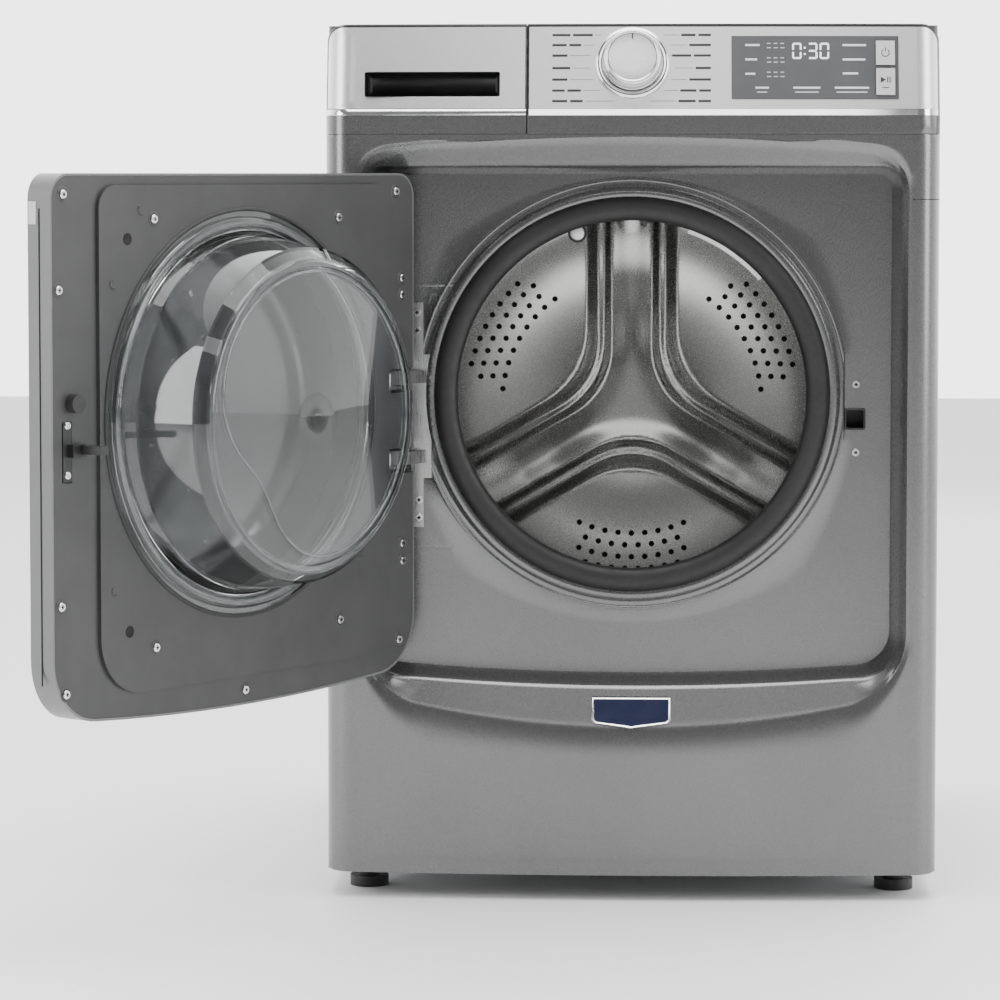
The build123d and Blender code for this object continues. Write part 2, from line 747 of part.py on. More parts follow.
def motor():
    """Drive motor hung under the tub."""
    can = rod_y(motor_x, motor_z, 62, pulley_at - 190, pulley_at - 26)
    can = chamfer(can.edges().filter_by(GeomType.CIRCLE), 5)
    lugs = block(motor_x - 60, motor_x - 40, pulley_at - 170, pulley_at - 60, motor_z + 40, motor_z + 92)
    lugs += block(motor_x + 20, motor_x + 40, pulley_at - 170, pulley_at - 60, motor_z + 40, motor_z + 92)
    lugs -= Rot(90, 0, 0) * Cylinder(tub_r + 0.5, 2000)
    body = can + lugs
    body -= rod_y(motor_x, motor_z, 7.05, pulley_at - 80, pulley_at + 80)
    return tilted(body)


def motor_pulley():
    """Small grooved pulley with the motor's shaft."""
    wheel = rod_y(motor_x, motor_z, motor_pulley_r, pulley_at - belt_width / 2 - 3,
                  pulley_at + belt_width / 2 + 3)
    return tilted(wheel + rod_y(motor_x, motor_z, 7, pulley_at - 70, pulley_at))


belt_gap = 0.3
belt_thick = 4.0


def belt_outline(radius_drum, radius_motor):
    """Face inside a tight loop around both pulleys."""
    big = CenterArc((0, 0), radius_drum, 0, 360)
    small = CenterArc((motor_x, motor_z), radius_motor, 0, 360)
    return make_hull(big.edges() + small.edges())


def drive_belt():
    """Flat belt around drum pulley and motor pulley."""
    outer = belt_outline(pulley_r + belt_gap + belt_thick, motor_pulley_r + belt_gap + belt_thick)
    inner = belt_outline(pulley_r + belt_gap, motor_pulley_r + belt_gap)
    loop = extrude(outer, belt_width) - extrude(inner, belt_width)
    standing = Pos(0, pulley_at + belt_width / 2, 0) * Rot(90, 0, 0) * loop
    return tilted(standing)


drum_sheet = 1.5
baffle_half = 23.0
baffle_height = 52.0


def drum_shell():
    """Stainless drum wall with its rolled front opening and rows of drain holes."""
    r = drum_r
    w = drum_sheet
    shell = turned([
        (drum_mouth_r, drum_front),
        (drum_mouth_r, drum_front + 10),
        (drum_mouth_r + w, drum_front + 10),
        (drum_mouth_r + w, drum_front + w),
        (r - 14, drum_front + w),
        (r - w, drum_front + 14),
        (r - w, drum_back_at - 2),
        (r, drum_back_at - 2),
        (r, drum_front + 12),
        (r - 12, drum_front),
    ])
    return tilted(shell)


def drum_back():
    """Dished rear wall of the drum, raised around the hub."""
    r = drum_r - drum_sheet - 0.05
    back = turned([
        (0, drum_back_at - 42),
        (62, drum_back_at - 42),
        (110, drum_back_at - 22),
        (r - 22, drum_back_at - 14),
        (r - 2, drum_back_at - 26),
        (r, drum_back_at - 26),
        (r, drum_back_at - 2),
        (r - 2, drum_back_at - 2),
        (r - 2, drum_back_at - 14),
        (r - 20, drum_back_at - 12),
        (108, drum_back_at - 20),
        (60, drum_back_at - 40),
        (0, drum_back_at - 40),
    ])
    return tilted(back)


def drum_baffles():
    """Three hollow lifters along the drum wall."""
    baffles = []
    length = drum_back_at - drum_front - 70
    for turn in (0, 120, 240):
        base = drum_r - drum_sheet - 0.1
        outline = Polyline((-baffle_half - 14, base - 3.2), (-9, base - baffle_height),
                           (9, base - baffle_height),
                           (baffle_half + 14, base - 3.2), (-baffle_half - 14, base - 3.2))
        wedge = extrude(make_face(outline), length)
        wedge = fillet(wedge.edges().filter_by(Axis.Z).group_by(Axis.Y)[0], 6)
        lying = Pos(0, drum_front + 26 + length, 0) * Rot(90, 0, 0) * wedge
        baffles.append(tilted(Rot(0, turn, 0) * lying))
    return Compound(baffles)


def drum_spider():
    """Three-armed cast spider between drum back and shaft."""
    hub = rod_y(0, 0, 34, drum_back_at - 10, drum_back_at + 10)
    arms = hub
    for turn in (60, 180, 300):
        arm = block(-14, 14, drum_back_at - 1.5, drum_back_at + 8, 0, drum_r - 12)
        arms += Rot(0, turn, 0) * arm
    arms -= rod_y(0, 0, shaft_r + 0.02, drum_back_at - 20, drum_back_at + 20)
    return tilted(arms)


def drive_shaft():
    """Stepped steel shaft from the spider to the pulley."""
    return tilted(rod_y(0, 0, shaft_r, drum_back_at - 9, pulley_at + 12))


def drum_pulley():
    """Large spoked belt pulley."""
    half = belt_width / 2
    rim = ring_y(0, 0, pulley_r, pulley_r - 10, pulley_at - half - 1.5, pulley_at + half + 1.5)
    hub = rod_y(0, 0, 32, pulley_at - half, pulley_at + half)
    wheel = rim + hub
    for turn in range(0, 360, 60):
        spoke = block(-10, 10, pulley_at - 4, pulley_at + 4, 28, pulley_r - 8)
        wheel += Rot(0, turn, 0) * spoke
    wheel -= rod_y(0, 0, shaft_r + 0.02, pulley_at - 40, pulley_at + 40)
    return tilted(wheel)


def door_gasket():
    """Rubber bellows from the recess floor to the tub's neck."""
    front = turned([
        (gasket_mouth_r, 0),
        (gasket_outer_r - 6, -3),
        (gasket_outer_r, 0),
        (gasket_outer_r, 8.0),
        (panel_hole_r - 1, 8.0),
        (panel_hole_r - 1, 22),
        (206, 26),
        (206, 14),
        (gasket_mouth_r, 8),
    ])
    front = Pos(0, pocket_floor_y - 8.2, mouth_z) * front
    start = Plane((0, pocket_floor_y + 12, mouth_z), x_dir=(1, 0, 0), z_dir=(0, 1, 0))
    end_centre = tilted(Pos(0, tub_front - 15, 0) * Sphere(1)).center()
    tilt = math.radians(axis_tilt)
    end = Plane(end_centre, x_dir=(1, 0, 0), z_dir=(0, math.cos(tilt), -math.sin(tilt)))
    outer = loft([start * Circle(217.9), end * Circle(tub_mouth_r + 3)], ruled=True)
    inner = loft([start * Circle(206), end * Circle(tub_mouth_r - 5)], ruled=True)
    return front + (outer - inner)


# ---- Suspension: springs and dampers ----
spring_x = 190.0
spring_y = (-25.0, 215.0)
spring_top = 929.0
damper_x = 200.0
damper_y = (-60.0, 150.0)


def tub_skin_z(x, y, grow=0.0):
    """Height of the tub's upper skin at x, y."""
    along = (y - axis_y) / math.cos(math.radians(axis_tilt))
    axis_z = mouth_z - along * math.sin(math.radians(axis_tilt))
    rise = math.sqrt((tub_r + grow) ** 2 - x ** 2)
    return axis_z + rise, axis_z - rise


def suspension_springs():
    """Four coil springs, drawn as tubes with solid ends."""
    springs = []
    for x in (-spring_x, spring_x):
        for y in spring_y:
            low = tub_skin_z(x, y, 12)[0] + 14
            coil = rod_z(x, y, 13, low + 20, spring_top - 20)
            coil -= rod_z(x, y, 9.5, low + 24, spring_top - 24)
            hooks = rod_z(x, y, 3, low, low + 24) + rod_z(x, y, 3, spring_top - 24, spring_top)
            springs.append(coil + hooks)
    return Compound(springs)


def dampers():
    """Four friction dampers between base pan and tub."""
    struts = []
    for x in (-damper_x, damper_x):
        for y in damper_y:
            high = tub_skin_z(x, y, 12)[1] - 16
            foot = panel_bottom + 3
            tube = rod_z(x, y, 15, foot, foot + 90)
            struts.append(tube + rod_z(x, y, 6, foot + 90, high))
    return Compound(struts)


# ---- Water path ----
pump_x = 205.0
pump_y = -265.0
pump_z = 92.0


def drain_pump():
    """Pump body with its volute, on a bracket."""
    volute = rod_y(pump_x, pump_z, 36, pump_y - 20, pump_y + 20)
    volute -= rod_y(pump_x, pump_z, 31, pump_y - 16, pump_y + 15)
    can = rod_y(pump_x, pump_z, 26, pump_y + 20, pump_y + 75)
    foot = block(pump_x - 30, pump_x + 30, pump_y - 10, pump_y + 60, panel_bottom + 2.6, pump_z - 20)
    foot -= rod_y(pump_x, pump_z, 33, pump_y - 30, pump_y + 90)
    body = volute + can + foot - rod_y(pump_x, pump_z, 3.05, pump_y + 10, pump_y + 40)
    return body


def pump_impeller():
    """Bladed impeller on its spindle."""
    hub = rod_y(pump_x, pump_z, 8, pump_y - 12, pump_y + 12)
    hub += rod_y(pump_x, pump_z, 3, pump_y + 12, pump_y + 36)
    wheel = hub
    for turn in range(0, 360, 60):
        blade = Pos(pump_x, pump_y, pump_z) * Rot(0, turn, 0) * Pos(0, 0, 17) * Box(2.5, 20, 20)
        wheel += blade
    return wheel


def drain_outlet():
    """Outlet elbow whose spigot stands out of the rear panel."""
    x, z = drain_at
    body = rod_y(x, z, drain_r, rear_face_y, rear_face_y + drain_length)
    body += rod_y(x, z, drain_r - 0.6, rear_face_y - 30, rear_face_y)
    body += rod_y(x, z, drain_r + 4, rear_face_y - sheet - 4, rear_face_y - sheet - 0.1)
    body += rod_z(x, rear_face_y - 30, drain_r, z - 60, z)
    return body - rod_y(x, z, drain_r - 2.5, rear_face_y - 26, rear_face_y + drain_length + 1)


def sump_hose():
    """Rubber hose from the tub's sump down and forward to the pump's inlet."""
    top = tilted(Pos(60, tub_joint - 80, -tub_r - 23) * Sphere(0.5)).center()
    body = rod_z(top.X, top.Y, 18, pump_z - 22, top.Z)
    body += rod_y(top.X, pump_z, 14, pump_y - 17, top.Y)
    return body + block(top.X, pump_x - 36.3, pump_y - 11, pump_y + 11, pump_z - 11, pump_z + 11)


def dispenser_hose():
    """Bellows from the dispenser to the top of the tub."""
    top = tray_z[0] - housing_gap - housing_wall - 18.1
    low = tub_skin_z(-203, -122, 0)[0] + 3
    return rod_z(-225, -100, 22, low, top)


def inlet_valves():
    """Hot and cold solenoid valves with threaded inlets through the rear panel."""
    valves = block(cold_at[0], hot_at[0], rear_face_y - 30, rear_face_y - 14, cold_at[1] - 8,
                   cold_at[1] + 8)
    for x, z in (hot_at, cold_at):
        valves += rod_y(x, z, inlet_r, rear_face_y, rear_face_y + inlet_length)
        valves += rod_y(x, z, inlet_r - 0.8, rear_face_y - 20, rear_face_y)
        valves += rod_y(x, z, 18, rear_face_y - sheet - 6, rear_face_y - sheet - 0.1)
        valves += rod_z(x, rear_face_y - 22, 12, z - 26, z + 14)
        valves -= rod_y(x, z, 9, rear_face_y - 8, rear_face_y + 40)
    return valves


def cord_gland():
    """Strain-relief bush in the rear panel with the bore that a power cord passes through."""
    x, z = gland_at
    bush = rod_y(x, z, gland_r - 0.1, rear_face_y - sheet - 4, rear_face_y + 5)
    bush += rod_y(x, z, gland_r + 4, rear_face_y + 0.1, rear_face_y + 5)
    return bush - rod_y(x, z, gland_bore_r, rear_face_y - 30, rear_face_y + 30)


def main_control():
    """Sealed control box on the front brace."""
    box = block(120, 300, -300, -150, 900, 950)
    return fillet(box.edges(), 4)


name_plate_z = (198.0, 230.0)


def name_plate():
    """Blank plate on the sloping bevel under the recess."""
    low_y, low_z = pocket_stations[3][0], pocket_stations[3][3]
    high_y, high_z = pocket_stations[2][0], pocket_stations[2][3]
    slope = math.degrees(math.atan((high_y - low_y) / (high_z - low_z)))
    middle = 0.5 * (name_plate_z[0] + name_plate_z[1])
    surface_y = low_y + (high_y - low_y) * (middle - low_z) / (high_z - low_z)
    half = 0.5 * (name_plate_z[1] - name_plate_z[0]) / math.cos(math.radians(slope))
    outline = Polyline((-44, half), (44, half), (44, -half + 6), (0, -half), (-44, -half + 6),
                       (-44, half))
    plate = extrude(make_face(outline), 2.2)
    return Pos(0, surface_y, middle) * Rot(90 - slope, 0, 0) * Pos(0, 0, 0.7) * plate


# ---- Nodes ----
nodes = {
    "side_panel_left": side_panel(-1),
    "side_panel_right": side_panel(1),
    "rear_panel": rear_panel(),
    "top_panel": top_panel(),
    "base_pan": base_pan(),
    "front_panel": front_panel(),
    "cross_braces": cross_braces(),
    "console_base": console_base(),
    "console_fascia": console_fascia(),
    "console_trim": console_trim(),
    "display_window": display_window(),
    "ui_board": ui_board(),
    "knob_ring": knob_ring(),
    "knob_cap": knob_cap(),
    "encoder": encoder(),
    "power_button": push_button(power_z),
    "start_button": push_button(start_z),
    "drawer_front": drawer_front(),
    "drawer_tray": drawer_tray(),
    "drawer_housing": drawer_housing(),
    "leveling_feet": leveling_feet(),
    "foot_locknuts": foot_locknuts(),
    "door_outer_frame": swing(door_outer_frame()),
    "door_window": swing(door_window()),
    "door_inner_panel": swing(door_inner_panel()),
    "glass_bowl": swing(glass_bowl()),
    "hinge_leaf": swing(hinge_leaf()),
    "door_strike": swing(door_strike()),
    "door_screws": swing(door_screws()),
    "door_bumper": swing(door_bumper()),
    "hinge_plate": hinge_plate(),
    "front_screws": front_screws(),
    "door_lock": door_lock(),
    "door_gasket": door_gasket(),
    "name_plate": name_plate(),
    "tub_front": tub_front_half(),
    "tub_rear": tub_rear_half(),
    "bearings": bearings(),
    "shaft_seal": shaft_seal(),
    "counterweights": counterweights(),
    "heater": heater(),
    "motor": motor(),
    "motor_pulley": motor_pulley(),
    "drive_belt": drive_belt(),
    "drum_shell": drum_shell(),
    "drum_back": drum_back(),
    "drum_baffles": drum_baffles(),
    "drum_spider": drum_spider(),
    "drive_shaft": drive_shaft(),
    "drum_pulley": drum_pulley(),
    "suspension_springs": suspension_springs(),
    "dampers": dampers(),
    "drain_pump": drain_pump(),
    "pump_impeller": pump_impeller(),
    "sump_hose": sump_hose(),
    "drain_outlet": drain_outlet(),
    "dispenser_hose": dispenser_hose(),
    "inlet_valves": inlet_valves(),
    "cord_gland": cord_gland(),
    "main_control": main_control(),
}

os.makedirs("parts", exist_ok=True)
for name, piece in nodes.items():
    export_step(piece, os.path.join("parts", name + ".step"))
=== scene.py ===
"""Looks of the front load washing machine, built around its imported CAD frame. Metres, Z up."""

import json
import math

import bmesh
import bpy
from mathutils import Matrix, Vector


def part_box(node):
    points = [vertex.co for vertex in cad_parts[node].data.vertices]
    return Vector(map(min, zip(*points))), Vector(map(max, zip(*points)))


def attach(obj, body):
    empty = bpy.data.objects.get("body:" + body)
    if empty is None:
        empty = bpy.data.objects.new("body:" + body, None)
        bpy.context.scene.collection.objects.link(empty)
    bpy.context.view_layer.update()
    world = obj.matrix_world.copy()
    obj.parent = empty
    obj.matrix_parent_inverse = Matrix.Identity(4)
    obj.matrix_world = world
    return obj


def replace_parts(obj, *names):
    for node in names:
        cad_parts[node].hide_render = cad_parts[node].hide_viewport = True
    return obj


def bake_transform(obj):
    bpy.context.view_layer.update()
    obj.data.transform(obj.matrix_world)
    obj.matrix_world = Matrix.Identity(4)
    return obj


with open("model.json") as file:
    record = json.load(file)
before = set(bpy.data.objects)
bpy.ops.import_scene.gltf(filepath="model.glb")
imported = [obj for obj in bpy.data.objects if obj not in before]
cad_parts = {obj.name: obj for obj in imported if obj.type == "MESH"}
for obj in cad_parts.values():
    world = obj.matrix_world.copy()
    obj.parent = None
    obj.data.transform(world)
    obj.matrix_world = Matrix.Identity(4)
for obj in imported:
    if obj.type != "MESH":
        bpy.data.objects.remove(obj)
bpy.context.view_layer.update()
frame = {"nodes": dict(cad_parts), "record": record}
nodes = frame["nodes"]
MM = 0.001

# ---- Driving sizes, in millimetres unless a name says otherwise ----
HALF_WIDTH = 343.0
FRONT_APEX_Y = -407.0
FRONT_SAG = 17.0
FRONT_ROLL_R = 30.0
FRONT_ROLL_Y = -363.2    # centre of the rounding at either end of the bow
ROLL_START = -2.7
PANEL_BOTTOM = 29.0
SKIRT_TOP = 879.0
HEIGHT = 981.0
FACE_LEAN = 25.0
MOUTH_Z = 565.0
AXIS_Y = -345.0
AXIS_TILT = math.radians(4.5)
HINGE_X, HINGE_Y = -273.0, -377.0
DOOR_OPEN = math.radians(125.4)
DOOR_INNER_Y = -353.0
BOWL_Z = 562.0
FLOOR_Y = -332.0
KNOB_Z = 937.0


# ---- Materials ----
def node_tree(name):
    """A new material, its node tree and its surface shader."""
    material = bpy.data.materials.new(name)
    material.use_nodes = True
    tree = material.node_tree
    return material, tree, tree.nodes["Principled BSDF"]


def noise(tree, scale, stretch=(1, 1, 1), detail=4.0, distortion=0.0):
    """Noise in the object's own coordinates, stretched along its axes."""
    place = tree.nodes.new("ShaderNodeTexCoord")
    mapping = tree.nodes.new("ShaderNodeMapping")
    mapping.inputs["Scale"].default_value = stretch
    texture = tree.nodes.new("ShaderNodeTexNoise")
    texture.inputs["Scale"].default_value = scale
    texture.inputs["Detail"].default_value = detail
    texture.inputs["Distortion"].default_value = distortion
    tree.links.new(place.outputs["Object"], mapping.inputs["Vector"])
    tree.links.new(mapping.outputs["Vector"], texture.inputs["Vector"])
    return texture.outputs["Fac"]


def cells(tree, scale):
    """Random flakes or crystals in the object's own coordinates."""
    place = tree.nodes.new("ShaderNodeTexCoord")
    texture = tree.nodes.new("ShaderNodeTexVoronoi")
    texture.inputs["Scale"].default_value = scale
    tree.links.new(place.outputs["Object"], texture.inputs["Vector"])
    return texture.outputs["Color"]


def spread(tree, value, low, high):
    """Maps a 0 to 1 value to a range."""
    node = tree.nodes.new("ShaderNodeMapRange")
    node.inputs["From Min"].default_value = 0.3
    node.inputs["From Max"].default_value = 0.7
    node.inputs["To Min"].default_value = low
    node.inputs["To Max"].default_value = high
    tree.links.new(value, node.inputs["Value"])
    return node.outputs["Result"]


def two_tone(tree, value, dark, light):
    """Colour that wanders between two tones."""
    ramp = tree.nodes.new("ShaderNodeValToRGB")
    ramp.color_ramp.elements[0].position = 0.32
    ramp.color_ramp.elements[1].position = 0.68
    ramp.color_ramp.elements[0].color = (*dark, 1)
    ramp.color_ramp.elements[1].color = (*light, 1)
    tree.links.new(value, ramp.inputs["Fac"])
    return ramp.outputs["Color"]


def relief(tree, shader, value, depth, strength=0.5):
    """Bump from a texture, in metres of depth."""
    bump = tree.nodes.new("ShaderNodeBump")
    bump.inputs["Strength"].default_value = strength
    bump.inputs["Distance"].default_value = depth
    tree.links.new(value, bump.inputs["Height"])
    tree.links.new(bump.outputs["Normal"], shader.inputs["Normal"])


def scaled(tone, factor):
    """A colour made lighter or darker."""
    return tuple(min(1.0, channel * factor) for channel in tone)


def toned(tree, shader, tone, pattern, tones, gloss, rough):
    """Colour between two factors of a tone and roughness over a range, each by its own pattern."""
    dark, light = tones
    colour = two_tone(tree, pattern, scaled(tone, dark), scaled(tone, light))
    tree.links.new(colour, shader.inputs["Base Color"])
    tree.links.new(spread(tree, gloss, *rough), shader.inputs["Roughness"])


def painted(name, tone, rough=0.36, metallic=0.45, coat=0.35):
    """Metallic paint: fine flakes, faint orange peel, and slow drift in tone."""
    material, tree, shader = node_tree(name)
    drift, flakes = noise(tree, 7.0, detail=2.0), cells(tree, 1800.0)
    toned(tree, shader, tone, drift, (0.96, 1.04), flakes, (rough - 0.015, rough + 0.015))
    relief(tree, shader, noise(tree, 260.0, detail=2.0), 0.00003, 0.10)
    shader.inputs["Metallic"].default_value = metallic
    shader.inputs["Coat Weight"].default_value = coat
    shader.inputs["Coat Roughness"].default_value = 0.18
    return material


def brushed(name, tone, stretch=(3, 150, 150), rough=0.30, scale=16.0):
    """Brushed metal with long fine scratches along one axis."""
    material, tree, shader = node_tree(name)
    lines = noise(tree, scale, stretch, detail=6.0)
    toned(tree, shader, tone, lines, (0.95, 1.04), lines, (rough - 0.03, rough + 0.05))
    relief(tree, shader, lines, 0.00002, 0.12)
    shader.inputs["Metallic"].default_value = 1.0
    return material


def galvanised(name, tone):
    """Zinc-coated sheet with crystal spangle."""
    material, tree, shader = node_tree(name)
    spangle = cells(tree, 130.0)
    toned(tree, shader, tone, spangle, (0.82, 1.12), spangle, (0.34, 0.52))
    relief(tree, shader, noise(tree, 60.0, detail=5.0), 0.0001, 0.3)
    shader.inputs["Metallic"].default_value = 0.85
    return material


def moulded(name, tone, rough=0.5, grain=900.0, depth=0.00005, coat=0.0):
    """Moulded plastic with a fine spark-eroded grain and slight unevenness of gloss."""
    material, tree, shader = node_tree(name)
    drift, gloss = noise(tree, 18.0, detail=3.0), noise(tree, 45.0)
    toned(tree, shader, tone, drift, (0.90, 1.10), gloss, (rough - 0.05, rough + 0.07))
    relief(tree, shader, noise(tree, grain, detail=2.0), depth, 0.4)
    shader.inputs["Coat Weight"].default_value = coat
    shader.inputs["Coat Roughness"].default_value = 0.12
    return material


def rubbery(name, tone):
    """Moulded rubber with talc-like mottling."""
    material, tree, shader = node_tree(name)
    mottle, gloss = noise(tree, 30.0, detail=8.0), noise(tree, 140.0)
    toned(tree, shader, tone, mottle, (0.85, 1.25), gloss, (0.48, 0.66))
    relief(tree, shader, noise(tree, 700.0, detail=3.0), 0.00008, 0.35)
    return material


def polished(name, tone, rough=0.09):
    """Bright plated metal with faint hazing."""
    material, tree, shader = node_tree(name)
    haze = noise(tree, 25.0, detail=6.0)
    toned(tree, shader, tone, haze, (0.95, 1.03), haze, (rough, rough + 0.06))
    shader.inputs["Metallic"].default_value = 1.0
    return material


def cast(name, tone, rough=0.55, metallic=0.9):
    """Sand- or pressure-cast metal with a pitted skin."""
    material, tree, shader = node_tree(name)
    pits = noise(tree, 220.0, detail=6.0)
    toned(tree, shader, tone, pits, (0.8, 1.12), pits, (rough - 0.08, rough + 0.1))
    relief(tree, shader, pits, 0.0003, 0.5)
    shader.inputs["Metallic"].default_value = metallic
    return material


def clear(name, tone, rough=0.03):
    """Glass with a trace of surface waviness."""
    material, tree, shader = node_tree(name)
    wave = noise(tree, 12.0, detail=2.0)
    toned(tree, shader, tone, wave, (0.97, 1.0), wave, (rough, rough + 0.02))
    relief(tree, shader, wave, 0.0002, 0.08)
    shader.inputs["Transmission Weight"].default_value = 1.0
    shader.inputs["IOR"].default_value = 1.46
    return material


SLATE = painted("slate_paint", (0.150, 0.150, 0.151), rough=0.28, metallic=0.80)
SIDE_PAINT = painted("side_paint", (0.150, 0.151, 0.154), rough=0.42, metallic=0.6, coat=0.15)
STEEL = brushed("console_steel", (0.78, 0.78, 0.775), rough=0.36)
KNOB_STEEL = brushed("knob_steel", (0.66, 0.66, 0.66), stretch=(60, 60, 60), rough=0.24)
DRUM_STEEL = brushed("drum_steel", (0.60, 0.60, 0.59), stretch=(60, 4, 60), rough=0.24)
HINGE_STEEL = brushed("hinge_steel", (0.42, 0.42, 0.415), stretch=(90, 90, 3), rough=0.28)
ZINC = galvanised("zinc_sheet", (0.50, 0.51, 0.52))
CHROME = polished("bright_trim", (0.86, 0.86, 0.87))
SCREW_STEEL = polished("screw_plating", (0.72, 0.72, 0.70), rough=0.2)
BLACK = moulded("black_plastic", (0.012, 0.012, 0.013), rough=0.42)
DOOR_GREY = moulded("door_plastic", (0.036, 0.036, 0.037), rough=0.46, depth=0.00008)
PANEL_GREY = moulded("display_plastic", (0.060, 0.061, 0.064), rough=0.34, grain=300.0, depth=0.00001,
                     coat=0.15)
KEY_SILVER = moulded("key_plastic", (0.50, 0.50, 0.495), rough=0.34)
TUB_PLASTIC = moulded("tub_plastic", (0.60, 0.60, 0.57), rough=0.55)
TRAY_PLASTIC = moulded("tray_plastic", (0.55, 0.57, 0.60), rough=0.3, grain=400.0)
VALVE_PLASTIC = moulded("valve_plastic", (0.68, 0.68, 0.66), rough=0.45)
BOARD = moulded("board_green", (0.03, 0.14, 0.06), rough=0.35, grain=260.0)
GASKET = rubbery("gasket_rubber", (0.010, 0.010, 0.0103))
RUBBER = rubbery("black_rubber", (0.016, 0.016, 0.016))
IRON = cast("weight_iron", (0.10, 0.10, 0.10), rough=0.7, metallic=0.4)
ALLOY = cast("cast_alloy", (0.60, 0.60, 0.61), rough=0.4)
MOTOR_PAINT = painted("motor_case", (0.05, 0.05, 0.055), rough=0.5)
GLASS = clear("clear_glass", (0.90, 0.93, 0.93), rough=0.0)
SMOKED = moulded("smoked_window", (0.020, 0.020, 0.022), rough=0.08, grain=30.0, depth=0.000002, coat=0.6)
NAVY = moulded("plate_blue", (0.008, 0.012, 0.045), rough=0.12, grain=200.0, depth=0.00001, coat=0.8)
INK = moulded("print_ink", (0.02, 0.02, 0.022), rough=0.5)
PALE_INK = moulded("pale_print", (0.70, 0.71, 0.72), rough=0.45)
# Near-black for the dark joints of seams, and painted shade in the drum holes, plug holes, latch-edge groove
# and screw drives.
DARK_SEAMS_AND_SHADE = moulded("seam_shadow", (0.004, 0.004, 0.004), rough=0.8)
GLASS_FROST = moulded("frosted_lens", (0.75, 0.76, 0.75), rough=0.25, grain=500.0)

FINISH_OF_SLOT = {
    "cabinet_paint": SIDE_PAINT, "zinc_sheet": ZINC, "console_steel": STEEL, "bright_trim": CHROME,
    "knob_metal": KNOB_STEEL, "black_plastic": BLACK, "display_plastic": PANEL_GREY, "key_plastic": KEY_SILVER,
    "door_plastic": DOOR_GREY, "gasket_rubber": GASKET, "black_rubber": RUBBER, "clear_glass": GLASS,
    "smoked_window": SMOKED, "drum_steel": DRUM_STEEL, "hinge_steel": HINGE_STEEL, "screw_steel": SCREW_STEEL,
    "tub_plastic": TUB_PLASTIC, "tray_plastic": TRAY_PLASTIC, "weight_iron": IRON, "cast_alloy": ALLOY,
    "shaft_steel": SCREW_STEEL, "motor_case": MOTOR_PAINT, "board_green": BOARD, "plate_blue": NAVY,
    "valve_plastic": VALVE_PLASTIC,
}


def finish_nodes():
    """Gives every carried-over CAD node its detailed material."""
    slot_of = {part["node"]: part["material_slot"] for part in frame["record"]["subparts"]}
    for name, node in nodes.items():
        material = FINISH_OF_SLOT[slot_of[name]]
        if name == "drawer_front":
            material = SLATE
        for holder in node.material_slots:
            holder.material = material


# ---- Mesh helpers, in millimetres ----
def piece(name, verts, faces, material, body="root", smooth=True, slot=None):
    """One visible piece from corners in millimetres."""
    mesh = bpy.data.meshes.new(name)
    mesh.from_pydata([Vector(corner) * MM for corner in verts], [], faces)
    solid = bmesh.new()
    solid.from_mesh(mesh)
    bmesh.ops.recalc_face_normals(solid, faces=solid.faces)
    solid.to_mesh(mesh)
    solid.free()
    for face in mesh.polygons:
        face.use_smooth = smooth
    made = bpy.data.objects.new(name, mesh)
    bpy.context.scene.collection.objects.link(made)
    mesh.materials.append(material)
    if body:
        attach(made, body)
    return made


def crisp(made, angle=35.0):
    """Splits the shading at edges sharper than an angle."""
    with bpy.context.temp_override(object=made, active_object=made, selected_editable_objects=[made]):
        bpy.ops.object.shade_smooth_by_angle(angle=math.radians(angle))
    return made


def loops_mesh(loops, closed=True, cap_first=False, cap_last=False):
    """Corners and faces of a skin laid over loops that all have the same number of corners."""
    count = len(loops[0])
    verts = [corner for loop in loops for corner in loop]
    faces = []
    for row in range(len(loops) - 1):
        for i in range(count if closed else count - 1):
            a, b = row * count + i, row * count + (i + 1) % count
            faces.append((a, b, b + count, a + count))
    if cap_first:
        faces.append(tuple(range(count)))
    if cap_last:
        faces.append(tuple(range(len(verts) - count, len(verts))))
    return verts, faces


def merged(parts):
    """Joins several (corners, faces) pairs into one pair."""
    verts, faces = [], []
    for more_verts, more_faces in parts:
        start = len(verts)
        verts += more_verts
        faces += [tuple(i + start for i in face) for face in more_faces]
    return verts, faces


def spun(profile, place, steps, start=0.0, end=math.tau, capped=False):
    """Turns (radius, depth) points round an axis; place(x, depth, z) puts a point in the machine."""
    full = abs(end - start) > math.tau - 1e-6
    count = steps if full else steps + 1
    loops = []
    for radius, depth in profile:
        loop = []
        for i in range(count):
            angle = start + (end - start) * i / steps
            loop.append(place(radius * math.sin(angle), depth, radius * math.cos(angle)))
        loops.append(loop)
    return loops_mesh(loops, closed=full, cap_last=capped)


def rounded_rect(x0, x1, z0, z1, radius, steps=6):
    """Outline of a rectangle with round corners."""
    points = []
    corners = ((x1 - radius, z1 - radius, 0), (x0 + radius, z1 - radius, 90))
    corners += ((x0 + radius, z0 + radius, 180), (x1 - radius, z0 + radius, 270))
    for x, z, begin in corners:
        for i in range(steps + 1):
            angle = math.radians(begin + 90 * i / steps)
            points.append((x + radius * math.cos(angle), z + radius * math.sin(angle)))
    return points


# ---- Places on the machine ----
def console_y(x, z):
    """Y of the console's front surface, with its rounded ends."""
    lean = FACE_LEAN * max(0.0, z - SKIRT_TOP) / (HEIGHT - SKIRT_TOP)
    end = abs(x) - (HALF_WIDTH - FRONT_ROLL_R)
    if end > ROLL_START:
        return FRONT_ROLL_Y - math.sqrt(max(0.0, FRONT_ROLL_R ** 2 - end ** 2)) + lean
    return FRONT_APEX_Y + FRONT_SAG * (x / HALF_WIDTH) ** 2 + lean


def on_console(x, proud, z):
    """A point that stands proud of the console's face by some amount."""
    return (x, console_y(x, z) - proud, z)


